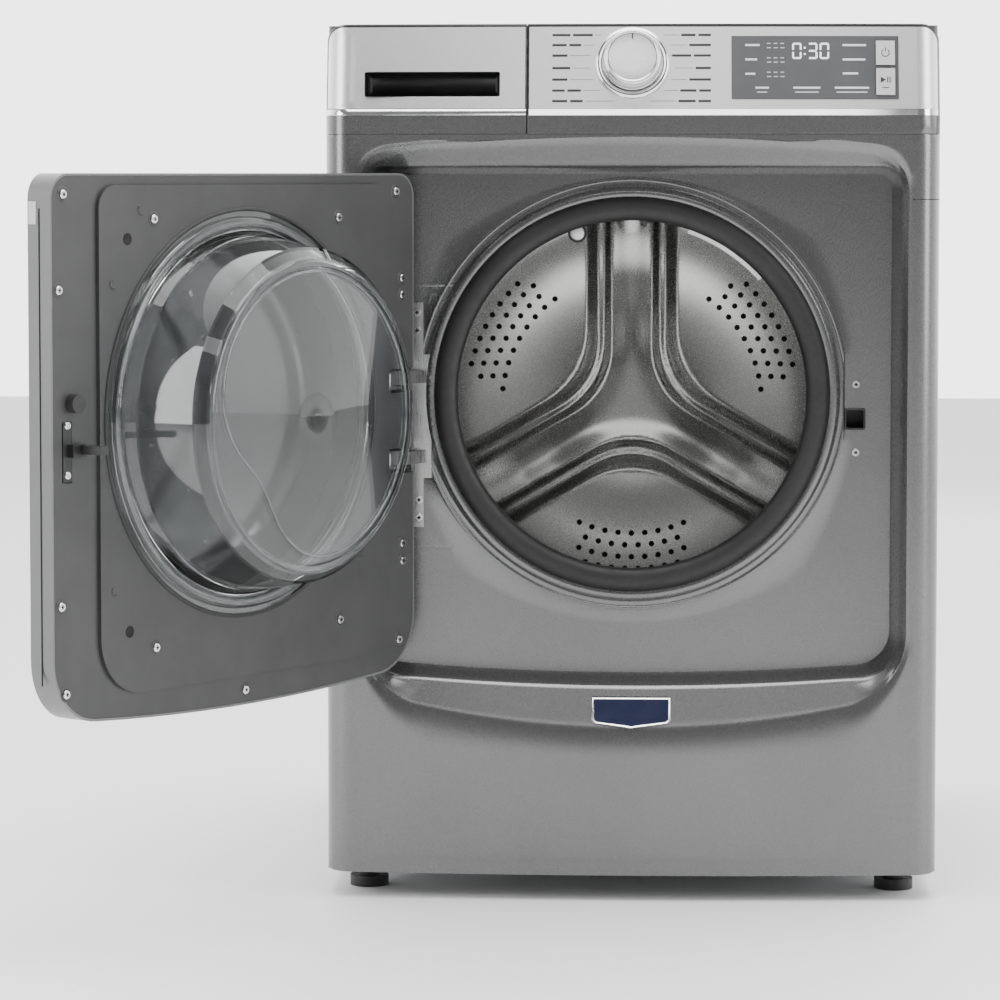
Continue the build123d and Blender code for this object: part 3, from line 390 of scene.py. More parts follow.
def opened(x, y, z):
    """A point of the door given as if the door were closed, swung to where the door stands."""
    turn = -DOOR_OPEN
    dx, dy = x - HINGE_X, y - HINGE_Y
    return (
        HINGE_X + dx * math.cos(turn) - dy * math.sin(turn),
        HINGE_Y + dx * math.sin(turn) + dy * math.cos(turn),
        z,
    )


def in_drum(x, depth, z):
    """A point given by its distances along and across the tilted drum axis."""
    return (
        x,
        AXIS_Y + depth * math.cos(AXIS_TILT) + z * math.sin(AXIS_TILT),
        MOUTH_Z - depth * math.sin(AXIS_TILT) + z * math.cos(AXIS_TILT),
    )


def from_mouth(x, depth, z):
    """A point behind the front, measured from the centre of the upright mouth."""
    return (x, AXIS_Y + depth, MOUTH_Z + z)


# ---- Drum interior ----
ARM_HALF = 29.0
ARM_ANGLES = (0.0, math.radians(120), math.radians(240))
DRUM_WALL_R = 265.0
PETAL_S = 530.0
HUB_S = 503.0
BAFFLE_TALL = 50.0
BAFFLE_FRONT_S = 120.0
HUB_BLEND = 52.0            # how widely two arms' edges round into each other
PETAL_LOW_R = 118.0         # radius at which a petal is deepest
PETAL_ROWS = 46
PETAL_ROW_STEP = 5.0
DRUM_BEND_R = 32.0
BEND_ROWS = 8
WALL_ROWS = 24
BAFFLE_FOOT = 30.0          # height at which a lifter leaves the petals
DRUM_MOUTH = ((DRUM_WALL_R, 112), (261, 100), (252, 94.5), (230, 93.5), (213, 93.5), (209, 97), (209, 102))
DRUM_STEPS = 360
HOLE_ROWS = (165.0, 180.0, 195.0, 210.0)
HOLE_PITCH = 17.0
HOLE_CLEAR = 32.0           # least distance of a hole from an arm's edge
HOLE_RIM = ((3.6, 0.3), (3.0, -0.3), (2.4, 0.0))
HOLE_LIFT = 0.9


def smooth(value, low, high):
    """Eases from 0 at low to 1 at high."""
    t = min(1.0, max(0.0, (value - low) / (high - low)))
    return t * t * (3 - 2 * t)


def soft_min(a, b, width):
    """Smaller of two numbers with a rounded change-over."""
    h = max(width - abs(a - b), 0.0) / width
    return min(a, b) - h * h * width / 4


def off_the_arms(x, z):
    """Distance from the edges of the two nearest arms, rounded where they meet at the hub."""
    gaps = []
    for angle in ARM_ANGLES:
        along = x * math.sin(angle) + z * math.cos(angle)
        across = abs(x * math.cos(angle) - z * math.sin(angle))
        gaps.append(math.hypot(x, z) if along < 0 else across)
    gaps.sort()
    return soft_min(gaps[0], gaps[1], HUB_BLEND) - ARM_HALF


def petal_depth(gap):
    """How far a petal has sunk at a distance from the arm: two steps with a ledge between them."""
    crown = 0.10 * smooth(gap, -ARM_HALF, -2)
    return crown + 0.36 * smooth(gap, -4, 7) + 0.54 * smooth(gap, 12, 30)


def petal_s(radius):
    """Depth of the petals: deepest halfway out and curling forward towards the rim."""
    bow = (radius - PETAL_LOW_R) ** 2
    return PETAL_S + 10.0 - 0.0016 * bow + 0.0009 * bow * smooth(radius, 170, 240)


def arm_s(radius):
    """Depth of the arms' crest: level at the hub, then falling back a little and rising to the rim."""
    return HUB_S + 7.0 * smooth(radius, 45, 130) - 7.0 * smooth(radius, 160, 232)


def drum_profile():
    """(radius, depth, inward radial part, inward axial part, vane height) from hub to mouth."""
    rows = []
    for i in range(1, PETAL_ROWS + 1):
        radius = PETAL_ROW_STEP * i
        rows.append((radius, petal_s(radius), 0.0, 1.0, petal_s(radius) - arm_s(radius)))
    bend_s = PETAL_S - DRUM_BEND_R
    for i in range(1, BEND_ROWS + 1):
        angle = math.radians(90 * i / BEND_ROWS)
        radius = DRUM_WALL_R - DRUM_BEND_R + DRUM_BEND_R * math.sin(angle)
        depth = bend_s + DRUM_BEND_R * math.cos(angle)
        height = BAFFLE_FOOT + (BAFFLE_TALL - BAFFLE_FOOT) * smooth(i, 0, BEND_ROWS)
        rows.append((radius, depth, math.sin(angle), math.cos(angle), height))
    length = bend_s - BAFFLE_FRONT_S
    for i in range(1, WALL_ROWS + 1):
        depth = bend_s - length * i / WALL_ROWS
        height = BAFFLE_TALL * smooth(depth, BAFFLE_FRONT_S, BAFFLE_FRONT_S + 55)
        rows.append((DRUM_WALL_R, depth, 1.0, 0.0, height))
    rows += [(radius, depth, 1.0, 0.0, 0.0) for radius, depth in DRUM_MOUTH]
    return rows


def drum_point(row, angle):
    """Point of the drum's inner surface on one row of the profile."""
    radius, depth, radial, axial, height = row
    x, z = radius * math.sin(angle), radius * math.cos(angle)
    gap = off_the_arms(x, z)
    rise = height * (1 - petal_depth(gap)) if axial > 0.5 else height * (1 - smooth(gap, -20, 16))
    if 0 < axial <= 0.5:
        blend = axial / 0.5
        rise = height * (blend * (1 - petal_depth(gap)) + (1 - blend) * (1 - smooth(gap, -20, 16)))
    radius -= rise * radial
    depth -= rise * axial
    return in_drum(radius * math.sin(angle), depth, radius * math.cos(angle))


def drum_skin():
    """Pressed stainless drum: three arms run on as lifters, with a rounded petal between each pair."""
    turns = [math.tau * i / DRUM_STEPS for i in range(DRUM_STEPS)]
    verts, faces = loops_mesh([[drum_point(row, turn) for turn in turns] for row in drum_profile()])
    centre = len(verts)
    verts.append(in_drum(0, HUB_S, 0))
    faces += [(i, (i + 1) % DRUM_STEPS, centre) for i in range(DRUM_STEPS)]
    skin = piece("drum_skin", verts, faces, DRUM_STEEL, "drum", slot="drum_steel")
    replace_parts(skin, "drum_shell", "drum_back", "drum_baffles")


def drum_holes():
    """Drain holes in four staggered rows near the rim of each petal, each a near-black dish of painted shade
    where the hole opens.
    """
    parts = []
    rows = drum_profile()[:PETAL_ROWS]
    for petal in range(3):
        middle = math.radians(60 + 120 * petal)
        for line, radius in enumerate(HOLE_ROWS):
            depth = min(rows, key=lambda entry: abs(entry[0] - radius))[1] - HOLE_LIFT
            count = 9 - line % 2
            for i in range(count):
                angle = middle + (i - (count - 1) / 2) * HOLE_PITCH / radius
                cx, cz = radius * math.sin(angle), radius * math.cos(angle)
                if off_the_arms(cx, cz) < HOLE_CLEAR:
                    continue

                def place(x, lift, z):
                    return in_drum(cx + x, depth + lift, cz + z)
                parts.append(spun(HOLE_RIM, place, 14, capped=True))
    verts, faces = merged(parts)
    piece("drum_holes", verts, faces, DARK_SEAMS_AND_SHADE, "drum", slot="drum_steel")


# ---- Door gasket ----
GASKET_PROFILE = (
    (218.5, 16), (223, 12), (224, 7), (222, 2), (215, -1.5), (206, -1), (200, 2), (197.5, 7), (197.2, 13),
    (199, 18), (205, 21), (209, 25), (210, 31), (207, 36), (201, 39), (198.5, 43), (200, 48), (206, 51),
    (210, 56), (211.5, 63), (213, 72),
)


def gasket():
    """Rubber bellows with two folds between the recess floor and the tub."""
    def place(x, depth, z):
        lean = smooth(depth, 20, 72)
        return (x, FLOOR_Y - 9 + depth + z * math.sin(AXIS_TILT) * lean, MOUTH_Z + z - 5.0 * lean)
    rings = spun(GASKET_PROFILE, place, 192)
    ring = piece("gasket_bellows", *rings, GASKET, body=None, slot="gasket_rubber")
    wall = ring.modifiers.new("wall", "SOLIDIFY")
    wall.thickness = 1.6 * MM
    wall.offset = -1.0
    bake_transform(ring)
    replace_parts(ring, "door_gasket")


# ---- Console ----
PRINT_PROUD = 0.12
LABEL_LEFT, LABEL_RIGHT = -89, 87
LABEL_ROWS = (                      # height, then the word lengths on either side
    (968.3, (20, 22), (14, 16)), (957.1, (16, 13), (24,)), (945.4, (17,), (19, 21)), (931.5, (20,), (17,)),
    (918.7, (17,), (24,)), (906.5, (14, 15), (13, 18)), (894.8, (17, 14), (14, 19)),
)
WORD_HALF = 1.3
WORD_GAP = 3
HAIRLINE_HALF = 0.22
HAIRLINE_R = 46.0
DIGIT_SEGMENTS = {"0": "abcdef", "3": "abgcd"}
DIGITS = (("0", 177.0), ("3", 194.5), ("0", 207.5))
DIGIT_Z = 941.5
DIGIT_WIDE, DIGIT_TALL, DIGIT_STROKE = 10.5, 18.0, 2.0
COLON_X, COLON_Z = 190.0, (946.0, 953.0)
DISPLAY_PROUD = 0.9
CYCLE_LEGENDS = ((957.0, 16), (941.0, 13), (925.0, 11))     # height and length of each dash
OPTION_LEGENDS = ((957.0, 26), (941.0, 25), (925.5, 17))
FOOT_LEGENDS = ((136, 15), (178, 30), (224, 38))            # left end and length
KEY_X, POWER_Z, START_Z = 280.5, 948.5, 918.5
KEY_PROUD = 2.7
FACE_ANGLE = math.atan(FACE_LEAN / (HEIGHT - SKIRT_TOP))
FACE_NORMAL = Vector((0, -math.cos(FACE_ANGLE), math.sin(FACE_ANGLE)))
FACE_UP = Vector((0, FACE_NORMAL.z, -FACE_NORMAL.y))


def printed_bar(x0, x1, z0, z1, proud=PRINT_PROUD, thick=0.10):
    """Thin raised print on the console's face."""
    steps = max(1, int(abs(x1 - x0) / 12))
    section = ((proud + thick, z0), (proud + thick, z1), (proud - 0.05, z1), (proud - 0.05, z0))
    loops = [[on_console(x0 + (x1 - x0) * i / steps, out, z) for out, z in section] for i in range(steps + 1)]
    return loops_mesh(loops, cap_first=True, cap_last=True)


def cycle_marks():
    """Generic dashes in place of the cycle names, each with a hairline to the knob."""
    bars = []
    for z, left_words, right_words in LABEL_ROWS:
        word_z, hair_z = (z - WORD_HALF, z + WORD_HALF), (z - HAIRLINE_HALF, z + HAIRLINE_HALF)
        reach = math.sqrt(max(0.0, HAIRLINE_R ** 2 - (z - KNOB_Z) ** 2)) + 1
        x = LABEL_LEFT
        for word in left_words:
            bars.append(printed_bar(x, x + word, *word_z))
            x += word + WORD_GAP
        bars.append(printed_bar(x, min(-reach, -8), *hair_z))
        x = LABEL_RIGHT
        for word in right_words:
            bars.append(printed_bar(x - word, x, *word_z))
            x -= word + WORD_GAP
        bars.append(printed_bar(max(reach, 8), x, *hair_z))
    piece("cycle_marks", *merged(bars), INK, smooth=False, slot="black_plastic")


def seven_segment(x, shown):
    """Bars of one digit whose left side is at x."""
    z, wide, tall, stroke = DIGIT_Z, DIGIT_WIDE, DIGIT_TALL, DIGIT_STROKE
    mid = z + tall / 2
    half = stroke / 2
    inset = stroke * 0.6
    places = {
        "a": (x + inset, x + wide - inset, z + tall - stroke, z + tall),
        "d": (x + inset, x + wide - inset, z, z + stroke),
        "g": (x + inset, x + wide - inset, mid - half, mid + half),
        "f": (x, x + stroke, mid + inset, z + tall - inset),
        "b": (x + wide - stroke, x + wide, mid + inset, z + tall - inset),
        "e": (x, x + stroke, z + inset, mid - inset),
        "c": (x + wide - stroke, x + wide, z + inset, mid - inset),
    }
    return [printed_bar(*places[letter], proud=DISPLAY_PROUD) for letter in shown]


def display_print():
    """Lit digits and the pale legends of the display, with dashes in place of words."""
    digits = []
    for digit, x in DIGITS:
        digits += seven_segment(x, DIGIT_SEGMENTS[digit])
    for z in COLON_Z:
        digits.append(printed_bar(COLON_X, COLON_X + DIGIT_STROKE, z, z + DIGIT_STROKE, proud=DISPLAY_PROUD))
    piece("display_digits", *merged(digits), lit_ink(), smooth=False, slot="display_plastic")
    bars = []
    for z, width in CYCLE_LEGENDS:
        bars.append((125, 125 + width, z - 1.1, z + 1.1))
        for i in range(3):
            bars.append((149 + 7.5 * i, 153.5 + 7.5 * i, z - 3.4, z - 2.6))
            bars.append((149 + 7.5 * i, 153.0 + 7.5 * i, z + 1.4, z + 2.2))
    bars += [(233, 233 + width, z - 1.1, z + 1.1) for z, width in OPTION_LEGENDS]
    for x, width in FOOT_LEGENDS:
        bars += [(x, x + width, 908.5, 910.6), (x + 2, x + width - 2, 904.2, 905.2)]
    legends = [printed_bar(*bar, proud=DISPLAY_PROUD) for bar in bars]
    piece("display_legends", *merged(legends), PALE_INK, smooth=False, slot="display_plastic")


def lit_ink():
    """Faintly glowing digits with uneven brightness."""
    material, tree, shader = node_tree("lit_digits")
    patch = noise(tree, 400.0)
    tree.links.new(two_tone(tree, patch, (0.75, 0.80, 0.82), (0.9, 0.95, 0.97)), shader.inputs["Base Color"])
    shader.inputs["Emission Color"].default_value = (0.85, 0.93, 1.0, 1)
    shader.inputs["Emission Strength"].default_value = 0.7
    return material


def key_symbols():
    """Power symbol and start/pause symbol on the two buttons."""
    x, z = KEY_X, POWER_Z
    ring = []
    for i in range(25):
        angle = math.radians(35 + 290 * i / 24)
        for radius in (4.6, 3.6):
            ring.append(on_console(x + radius * math.sin(angle), KEY_PROUD + 0.05,
                                   z + radius * math.cos(angle)))
    faces = [(2 * i, 2 * i + 1, 2 * i + 3, 2 * i + 2) for i in range(24)]
    parts = [(ring, faces), printed_bar(x - 0.5, x + 0.5, z + 1.5, z + 6, proud=KEY_PROUD)]
    piece("power_symbol", *merged(parts), INK, "power_key", smooth=False, slot="key_plastic")
    z = START_Z
    arrow = [on_console(x + dx, KEY_PROUD + 0.05, z + dz) for dx, dz in ((-5.5, 3.6), (-5.5, -3.6), (0.2, 0))]
    parts = [(arrow, [(0, 1, 2)])]
    parts += [printed_bar(x + step, x + step + 1.2, z - 3.4, z + 3.4, proud=KEY_PROUD) for step in (1.6, 4.2)]
    parts += [printed_bar(x - 4, x + 4, z - 9.2, z - 8.2, proud=KEY_PROUD)]
    piece("start_symbol", *merged(parts), INK, "start_key", smooth=False, slot="key_plastic")


KNOB_STEPS = 160
KNOB_RING = ((34.2, 0.7), (40.6, 0.7), (40.9, 2.6), (40.2, 4.0), (38.6, 5.1), (36.0, 5.5), (34.6, 5.2),
             (34.2, 4.0))
KNOB_SIDE = ((0, 6.5), (32.2, 6.5), (32.9, 7.2), (32.9, 8.6), (32.2, 9.2), (32.0, 24.0), (31.2, 26.4))
KNOB_BEVEL = ((31.2, 26.4), (30.6, 27.6), (29.4, 28.2), (28.4, 28.0))
KNOB_TOP = ((28.4, 28.0), (27.8, 27.2), (26.0, 27.0), (14.0, 26.7), (0.01, 26.6))
POINTER_RISE = 27.35
SIDE_STEPS = 288
FLUTES = 72
FLUTE_DEEP = 0.35


def on_knob(x, rise, z):
    """A point above the sloping face, measured from the knob's centre."""
    base = Vector(on_console(0, 0, KNOB_Z))
    return tuple(base + Vector((x, 0, 0)) + rise * FACE_NORMAL + z * FACE_UP)


def knob():
    """Spun metal knob with a bright bevel, on a polished fixed ring."""
    ring = spun(KNOB_RING + KNOB_RING[:1], on_knob, KNOB_STEPS)
    collar = piece("knob_collar", *ring, CHROME, slot="bright_trim")
    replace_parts(crisp(collar), "knob_ring")
    loops = []
    for radius, rise in KNOB_SIDE:
        loop = []
        for i in range(SIDE_STEPS):
            angle = math.tau * i / SIDE_STEPS
            flute = FLUTE_DEEP * math.cos(FLUTES * angle) if 9.0 < rise < 25 else 0.0
            size = max(0.01, radius + flute)
            loop.append(on_knob(size * math.sin(angle), rise, size * math.cos(angle)))
        loops.append(loop)
    body = piece("knob_side", *loops_mesh(loops, cap_first=True), KNOB_STEEL, "knob", slot="knob_metal")
    crisp(body)
    piece("knob_bevel", *spun(KNOB_BEVEL, on_knob, KNOB_STEPS), CHROME, "knob", slot="bright_trim")
    cap = piece("knob_face", *spun(KNOB_TOP, on_knob, KNOB_STEPS), KNOB_STEEL, "knob", slot="knob_metal")
    mark = [on_knob(x, POINTER_RISE, z) for x, z in rounded_rect(-0.7, 0.7, 20.0, 26.5, 0.6, 3)]
    piece("knob_pointer", mark, [tuple(range(len(mark)))], INK, "knob", smooth=False, slot="black_plastic")
    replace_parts(cap, "knob_cap")


DRAWER_FACE_X = (-340.5, -119.0)
DRAWER_FACE_Z = (886.6, 977.5)
GRIP_X = (-298.0, -147.0)
GRIP_Z = (900.0, 927.6)
PLATE_STEPS = 14


def long_rect(x0, x1, z0, z1, radii, along=24):
    """Outline of a rectangle with one radius per corner and points along its sides."""
    right_top, left_top, left_low, right_low = radii
    spots = ((x1, z1, -1, -1, right_top, 0), (x0, z1, 1, -1, left_top, 90))
    spots += ((x0, z0, 1, 1, left_low, 180), (x1, z0, -1, 1, right_low, 270))
    arcs = []
    for x, z, sx, sz, radius, begin in spots:
        arc = []
        for i in range(7):
            angle = math.radians(begin + 15 * i)
            arc.append((x + sx * radius + radius * math.cos(angle),
                        z + sz * radius + radius * math.sin(angle)))
        arcs.append(arc)
    points = []
    for i, arc in enumerate(arcs):
        points += arc
        begin, end = arc[-1], arcs[(i + 1) % 4][0]
        for k in range(1, along):
            points.append(tuple(a + (b - a) * k / along for a, b in zip(begin, end)))
    return points


def framed_plate(name, outer, hole, proud, material, body, slot):
    """Thin plate that follows the console's face between an outline and a hole."""
    loops = [[on_console(x, 0.05, z) for x, z in outer]]
    for step in range(PLATE_STEPS + 1):
        share = step / PLATE_STEPS
        pairs = [(x + (u - x) * share, z + (v - z) * share) for (x, z), (u, v) in zip(outer, hole)]
        loops.append([on_console(x, proud, z) for x, z in pairs])
    loops.append([on_console(x, -2.0, z) for x, z in hole])
    return crisp(piece(name, *loops_mesh(loops), material, body, slot=slot))


def console_strip(name, x0, x1, z0, z1, back, proud, material, body, slot):
    """Strip that follows the bowed console between two heights."""
    steps = max(2, int((x1 - x0) / 6))
    section = ((back, z0), (proud - 0.3, z0), (proud, z0 + 0.4), (proud, z1 - 0.4), (proud - 0.3, z1),
               (back, z1))
    loops = []
    for i in range(steps + 1):
        x = x0 + (x1 - x0) * i / steps
        loops.append([on_console(x, out, z) for out, z in section])
    verts, faces = loops_mesh(loops, cap_first=True, cap_last=True)
    return crisp(piece(name, verts, faces, material, body, slot=slot))


def drawer_looks():
    """Brushed face, black rim and bright strip on the dispenser drawer, and the dark inside of its grip."""
    x0, x1 = DRAWER_FACE_X
    z0, z1 = DRAWER_FACE_Z
    outer = long_rect(x0, x1, z0, z1, (1.0, 17.0, 2.0, 1.0))
    hole = long_rect(*GRIP_X, *GRIP_Z, (2.0, 2.0, 2.0, 2.0))
    framed_plate("drawer_face", outer, hole, 0.9, STEEL, "drawer", "console_steel")
    rim = long_rect(x0 - 1.6, x1 + 0.9, z0 - 0.5, z1 + 1.8, (1.0, 18.5, 2.0, 1.0))
    framed_plate("drawer_rim", rim, outer, 0.6, BLACK, "drawer", "black_plastic")
    console_strip("drawer_trim", -342.0, -118.2, 879.4, 885.8, -0.5, 1.3, CHROME, "drawer", "bright_trim")
    lining = []
    for depth in (-1.0, -38.0, -46.0):
        size = 0.4 if depth > -40 else 6.0
        ring = long_rect(GRIP_X[0] + size, GRIP_X[1] - size, GRIP_Z[0] + size, GRIP_Z[1] - size, (2.0,) * 4, 8)
        lining.append([(x, max(FRONT_APEX_Y + 10 - depth, -395.0 - depth * 0.9), z) for x, z in ring])
    verts, faces = loops_mesh(lining, cap_last=True)
    piece("grip_lining", verts, faces, BLACK, "drawer", slot="black_plastic")


def console_looks():
    """Painted skirt under the console and the printed face."""
    console_strip("console_skirt", -116.2, 342.6, 859.0, 878.8, -0.3, 0.35, SLATE, "root", "cabinet_paint")
    cycle_marks()
    display_print()
    key_symbols()
    knob()
    drawer_looks()


# ---- Pressed front ----
LIP = (301.0, 822.0, 240.0, 45.0, 26.0)        # half width, top, bottom, low and top corner radius
BEVEL = (322.0, 883.0, 147.0, 78.0, 60.0)
LIP_Y = -380.0
BEVEL_Y = -430.0
SAG = 14.0                                      # how far the outlines drop at the middle of their bottom edge
WALL_WIDTH = 9.0
PANEL_TOP = 858.2
BASE_CREASE_Z = 46.0
SIDE_START_Y = -325.4
EMBOSS = (
    (219.0, 6.0), (219.2, 1.5), (220.6, -1.8), (224.0, -3.9), (228.5, -4.4), (232.5, -3.0), (234.2, -0.6),
    (236.0, 0.5), (240.0, 0.4), (241.3, -1.3), (242.6, -1.6), (244.2, -1.0), (246.0, 0.0),
)
MOUTH_FLAT = 231.0
LOCK_SLOT = (241.6, 262.4, 527.4, 548.6)
SKIN_RAYS = 720
RIB_Z = (688.0, 391.0)
RIB_START_X = -286.0
SEAM_Z = 786.0
BADGE_Z = 214.0
BADGE_OUTLINE = ((-44, 17), (44, 17), (44, -10), (41, -14), (8, -18.5), (0, -20), (-8, -18.5),
                 (-41, -14), (-44, -10))
BADGE_FRAME = ((1.0, 1.0, -1.0), (1.0, 1.0, 2.2), (0.985, 0.965, 3.0), (0.955, 0.90, 3.0), (0.945, 0.875, 2.2))
BADGE_FIELD = (0.95, 0.885)


def shield_distance(x, z, outline):
    """Signed distance to a rounded outline whose bottom edge sags; negative inside."""
    half, top, bottom, low_r, top_r = outline
    bottom += SAG * min(1.0, (x / half) ** 2)
    radius = low_r if z < 500 else top_r
    dx = abs(x) - (half - radius)
    dz = z - (top - radius) if z > 500 else (bottom + radius) - z
    outside = math.hypot(max(dx, 0.0), max(dz, 0.0))
    return outside + min(max(dx, dz), 0.0) - radius


def bow_y(x, z):
    """Y of the bowed front without the recess, with a faint step above the base."""
    step = 0.9 * (1 - smooth(z, BASE_CREASE_Z - 2.5, BASE_CREASE_Z + 2.5))
    return console_y(x, 0.0) + step


def bevel_y(x, z):
    """Y of the slope between the recess lip and the bow."""
    near = shield_distance(x, z, LIP)
    far = shield_distance(x, z, BEVEL)
    share = near / max(near - far, 1e-6)
    return LIP_Y + (BEVEL_Y - LIP_Y) * share


def along_ray(angle, test, low, high):
    """Distance from the mouth's centre at which a rising test changes sign."""
    for _ in range(34):
        middle = 0.5 * (low + high)
        x, z = middle * math.sin(angle), MOUTH_Z + middle * math.cos(angle)
        if test(x, z) < 0:
            low = middle
        else:
            high = middle
    return 0.5 * (low + high)


def box_distance(x, z, half, low, high):
    """Signed distance-like value to an upright rectangle."""
    return max(abs(x) - half, z - high, low - z)


def front_ray(angle):
    """Points of the pressed front along one ray from the mouth's centre."""
    sine, cosine = math.sin(angle), math.cos(angle)
    points = []

    def add(radius, y):
        points.append((radius * sine, y, MOUTH_Z + radius * cosine))

    for radius, rise in EMBOSS:
        x = radius * sine
        limit = MOUTH_FLAT + 0.35 * (radius - 219.0)
        x = math.copysign(min(abs(x), limit), x) if radius > 232 else x
        points.append((x, FLOOR_Y + rise, MOUTH_Z + radius * cosine))
    lip = along_ray(angle, lambda x, z: shield_distance(x, z, LIP), 250, 620)
    foot = along_ray(angle, lambda x, z: shield_distance(x, z, LIP) + WALL_WIDTH, 247, lip)
    for i in range(1, 5):
        add(246 + (foot - 246) * i / 5, FLOOR_Y)
    for i in range(13):
        share = i / 12
        rise = smooth(share, 0.0, 1.0) * 0.75 + share * 0.25
        add(foot + (lip - foot) * share, FLOOR_Y + (LIP_Y - FLOOR_Y) * rise)
    crease = along_ray(angle, lambda x, z: bow_y(x, z) - bevel_y(x, z), lip, 700)
    for i in range(1, 12):
        radius = lip + (crease - lip) * i / 11
        x, z = radius * sine, MOUTH_Z + radius * cosine
        rounding = 2.2 * smooth(radius, crease - 7, crease)
        lead_in = 1.0 * (1 - smooth(radius, lip, lip + 5))
        add(radius, max(bevel_y(x, z), bow_y(x, z)) + rounding - lead_in)
    inner = along_ray(angle, lambda x, z: box_distance(x, z, 309.5, 62.0, 850.0), crease, 800)
    outer = along_ray(angle, lambda x, z: box_distance(x, z, HALF_WIDTH, PANEL_BOTTOM, PANEL_TOP), crease, 800)
    inner = max(inner, crease + 0.4)
    for i in range(1, 10):
        radius = crease + (inner - crease) * i / 9
        x, z = radius * sine, MOUTH_Z + radius * cosine
        add(radius, bow_y(x, z) + 2.2 * (1 - smooth(radius, crease, crease + 7)))
    for i in range(1, 13):
        radius = inner + (outer - inner) * math.sin(math.radians(90 * i / 12))
        x, z = radius * sine, MOUTH_Z + radius * cosine
        edge = 1.6 * smooth(i, 11, 12) if abs(x) < HALF_WIDTH - 2 else 0.0
        add(radius, bow_y(x, z) + edge)
    x, y, z = points[-1]
    for share in (0.04, 0.4, 1.0):
        points.append((x, y + (SIDE_START_Y - y) * share, z))
    return points


def front_skin():
    """The whole pressed front panel: mouth ring, recess, lip, slope and bowed face."""
    angles = [math.tau * i / SKIN_RAYS for i in range(SKIN_RAYS)]
    for corner_x in (-HALF_WIDTH, HALF_WIDTH):
        for corner_z in (PANEL_BOTTOM, PANEL_TOP):
            exact = math.atan2(corner_x, corner_z - MOUTH_Z) % math.tau
            nearest = min(range(SKIN_RAYS), key=lambda i: abs(angles[i] - exact))
            angles[nearest] = exact
    columns = [front_ray(angle) for angle in angles]
    loops = [list(row) for row in zip(*columns)]
    skin = piece("front_skin", *loops_mesh(loops), SLATE, slot="cabinet_paint")
    cut_slot(skin)
    crisp(skin, 50.0)
    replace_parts(skin, "front_panel")


def cut_slot(skin):
    """Cuts the lock's slot through the recess floor."""
    mesh = bmesh.new()
    mesh.from_mesh(skin.data)
    x0, x1, z0, z1 = [edge * MM for edge in LOCK_SLOT]
    planes = ((x0, 0, 1, 0), (x1, 0, 1, 0), (0, z0, 0, 1), (0, z1, 0, 1))
    for x, z, nx, nz in planes:
        near = [face for face in mesh.faces
                if x0 - 0.012 < face.calc_center_median().x < x1 + 0.012
                and z0 - 0.012 < face.calc_center_median().z < z1 + 0.012]
        edges = {edge for face in near for edge in face.edges}
        corners = {corner for face in near for corner in face.verts}
        bmesh.ops.bisect_plane(mesh, geom=near + list(edges) + list(corners),
                               plane_co=(x, 0, z), plane_no=(nx, 0, nz))
    inside = [face for face in mesh.faces
              if x0 < face.calc_center_median().x < x1 and z0 < face.calc_center_median().z < z1]
    bmesh.ops.delete(mesh, geom=inside, context="FACES")
    mesh.to_mesh(skin.data)
    mesh.free()


def tube(path, radius, sides=8, closed=False):
    """Round bead along a path."""
    loops = []
    count = len(path)
    for i in range(count):
        before = Vector(path[(i - 1) % count] if closed else path[max(i - 1, 0)])
        after = Vector(path[(i + 1) % count] if closed else path[min(i + 1, count - 1)])
        along = (after - before).normalized()
        side = along.cross(Vector((0, 1, 0)))
        side = side.normalized() if side.length > 1e-6 else Vector((1, 0, 0))
        up = along.cross(side).normalized()
        ring = []
        for k in range(sides):
            turn = math.tau * k / sides
            ring.append(tuple(Vector(path[i]) + radius * (math.cos(turn) * side + math.sin(turn) * up)))
        loops.append(ring)
    if closed:
        loops.append(loops[0])
        return loops_mesh(loops)
    return loops_mesh(loops, cap_first=True, cap_last=True)


def front_details():
    """Ribs on the recess floor, the seams beside the recess and the blank badge with its frame."""
    ribs = []
    for z in RIB_Z:
        ribs.append(tube([(RIB_START_X + 4 * i, FLOOR_Y + 0.7, z) for i in range(22)], 1.6))
    piece("recess_ribs", *merged(ribs), SLATE, slot="cabinet_paint")
    seams = []
    for side in (-1, 1):
        path = []
        for i in range(14):
            x = side * (311.0 + 31.9 * math.sin(math.radians(90 * i / 13)))
            path.append((x, console_y(x, 0) + 0.25, SEAM_Z))
        seams.append(tube(path, 0.55))
    piece("side_seams", *merged(seams), DARK_SEAMS_AND_SHADE, slot="black_plastic")
    badge()


def badge_place(x, rise, up):
    """A point on the slope under the recess; up runs along the slope from the badge's middle."""
    z = BADGE_Z + up * 0.88
    return (x, bevel_y(x * 0.2, z) - rise, z - rise * 0.5)


def badge():
    """Blank shield-shaped badge: a bright frame round a dark blue field."""
    def loop(scale_x, scale_z, rise):
        return [badge_place(x * scale_x, rise, z * scale_z) for x, z in BADGE_OUTLINE]

    frame_loops = [loop(*stage) for stage in BADGE_FRAME]
    crisp(piece("badge_frame", *loops_mesh(frame_loops), CHROME, slot="bright_trim"))
    field_loops = [loop(*BADGE_FIELD, rise) for rise in (1.0, 2.3)]
    field = loops_mesh(field_loops, cap_first=True, cap_last=True)
    plate = piece("badge_field", *field, NAVY, slot="plate_blue")
    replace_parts(crisp(plate), "name_plate")


LAMP_AT = (-62.0, 36.0, 182.0)
LAMP_LENS = ((0.01, -2.6), (4.0, -2.2), (7.0, -0.9), (8.2, 0.8))
LAMP_BEZEL = ((8.2, 0.8), (8.6, -1.4), (10.0, -1.8), (10.8, 0.2), (10.8, 6.0))
SPRAY_LIP = ((197.5, 27.0), (193.6, 27.6), (192.6, 29.0), (192.6, 33.0), (193.6, 34.4), (197.5, 35.0))
SPRAY_ARC = (math.radians(19), math.radians(48))


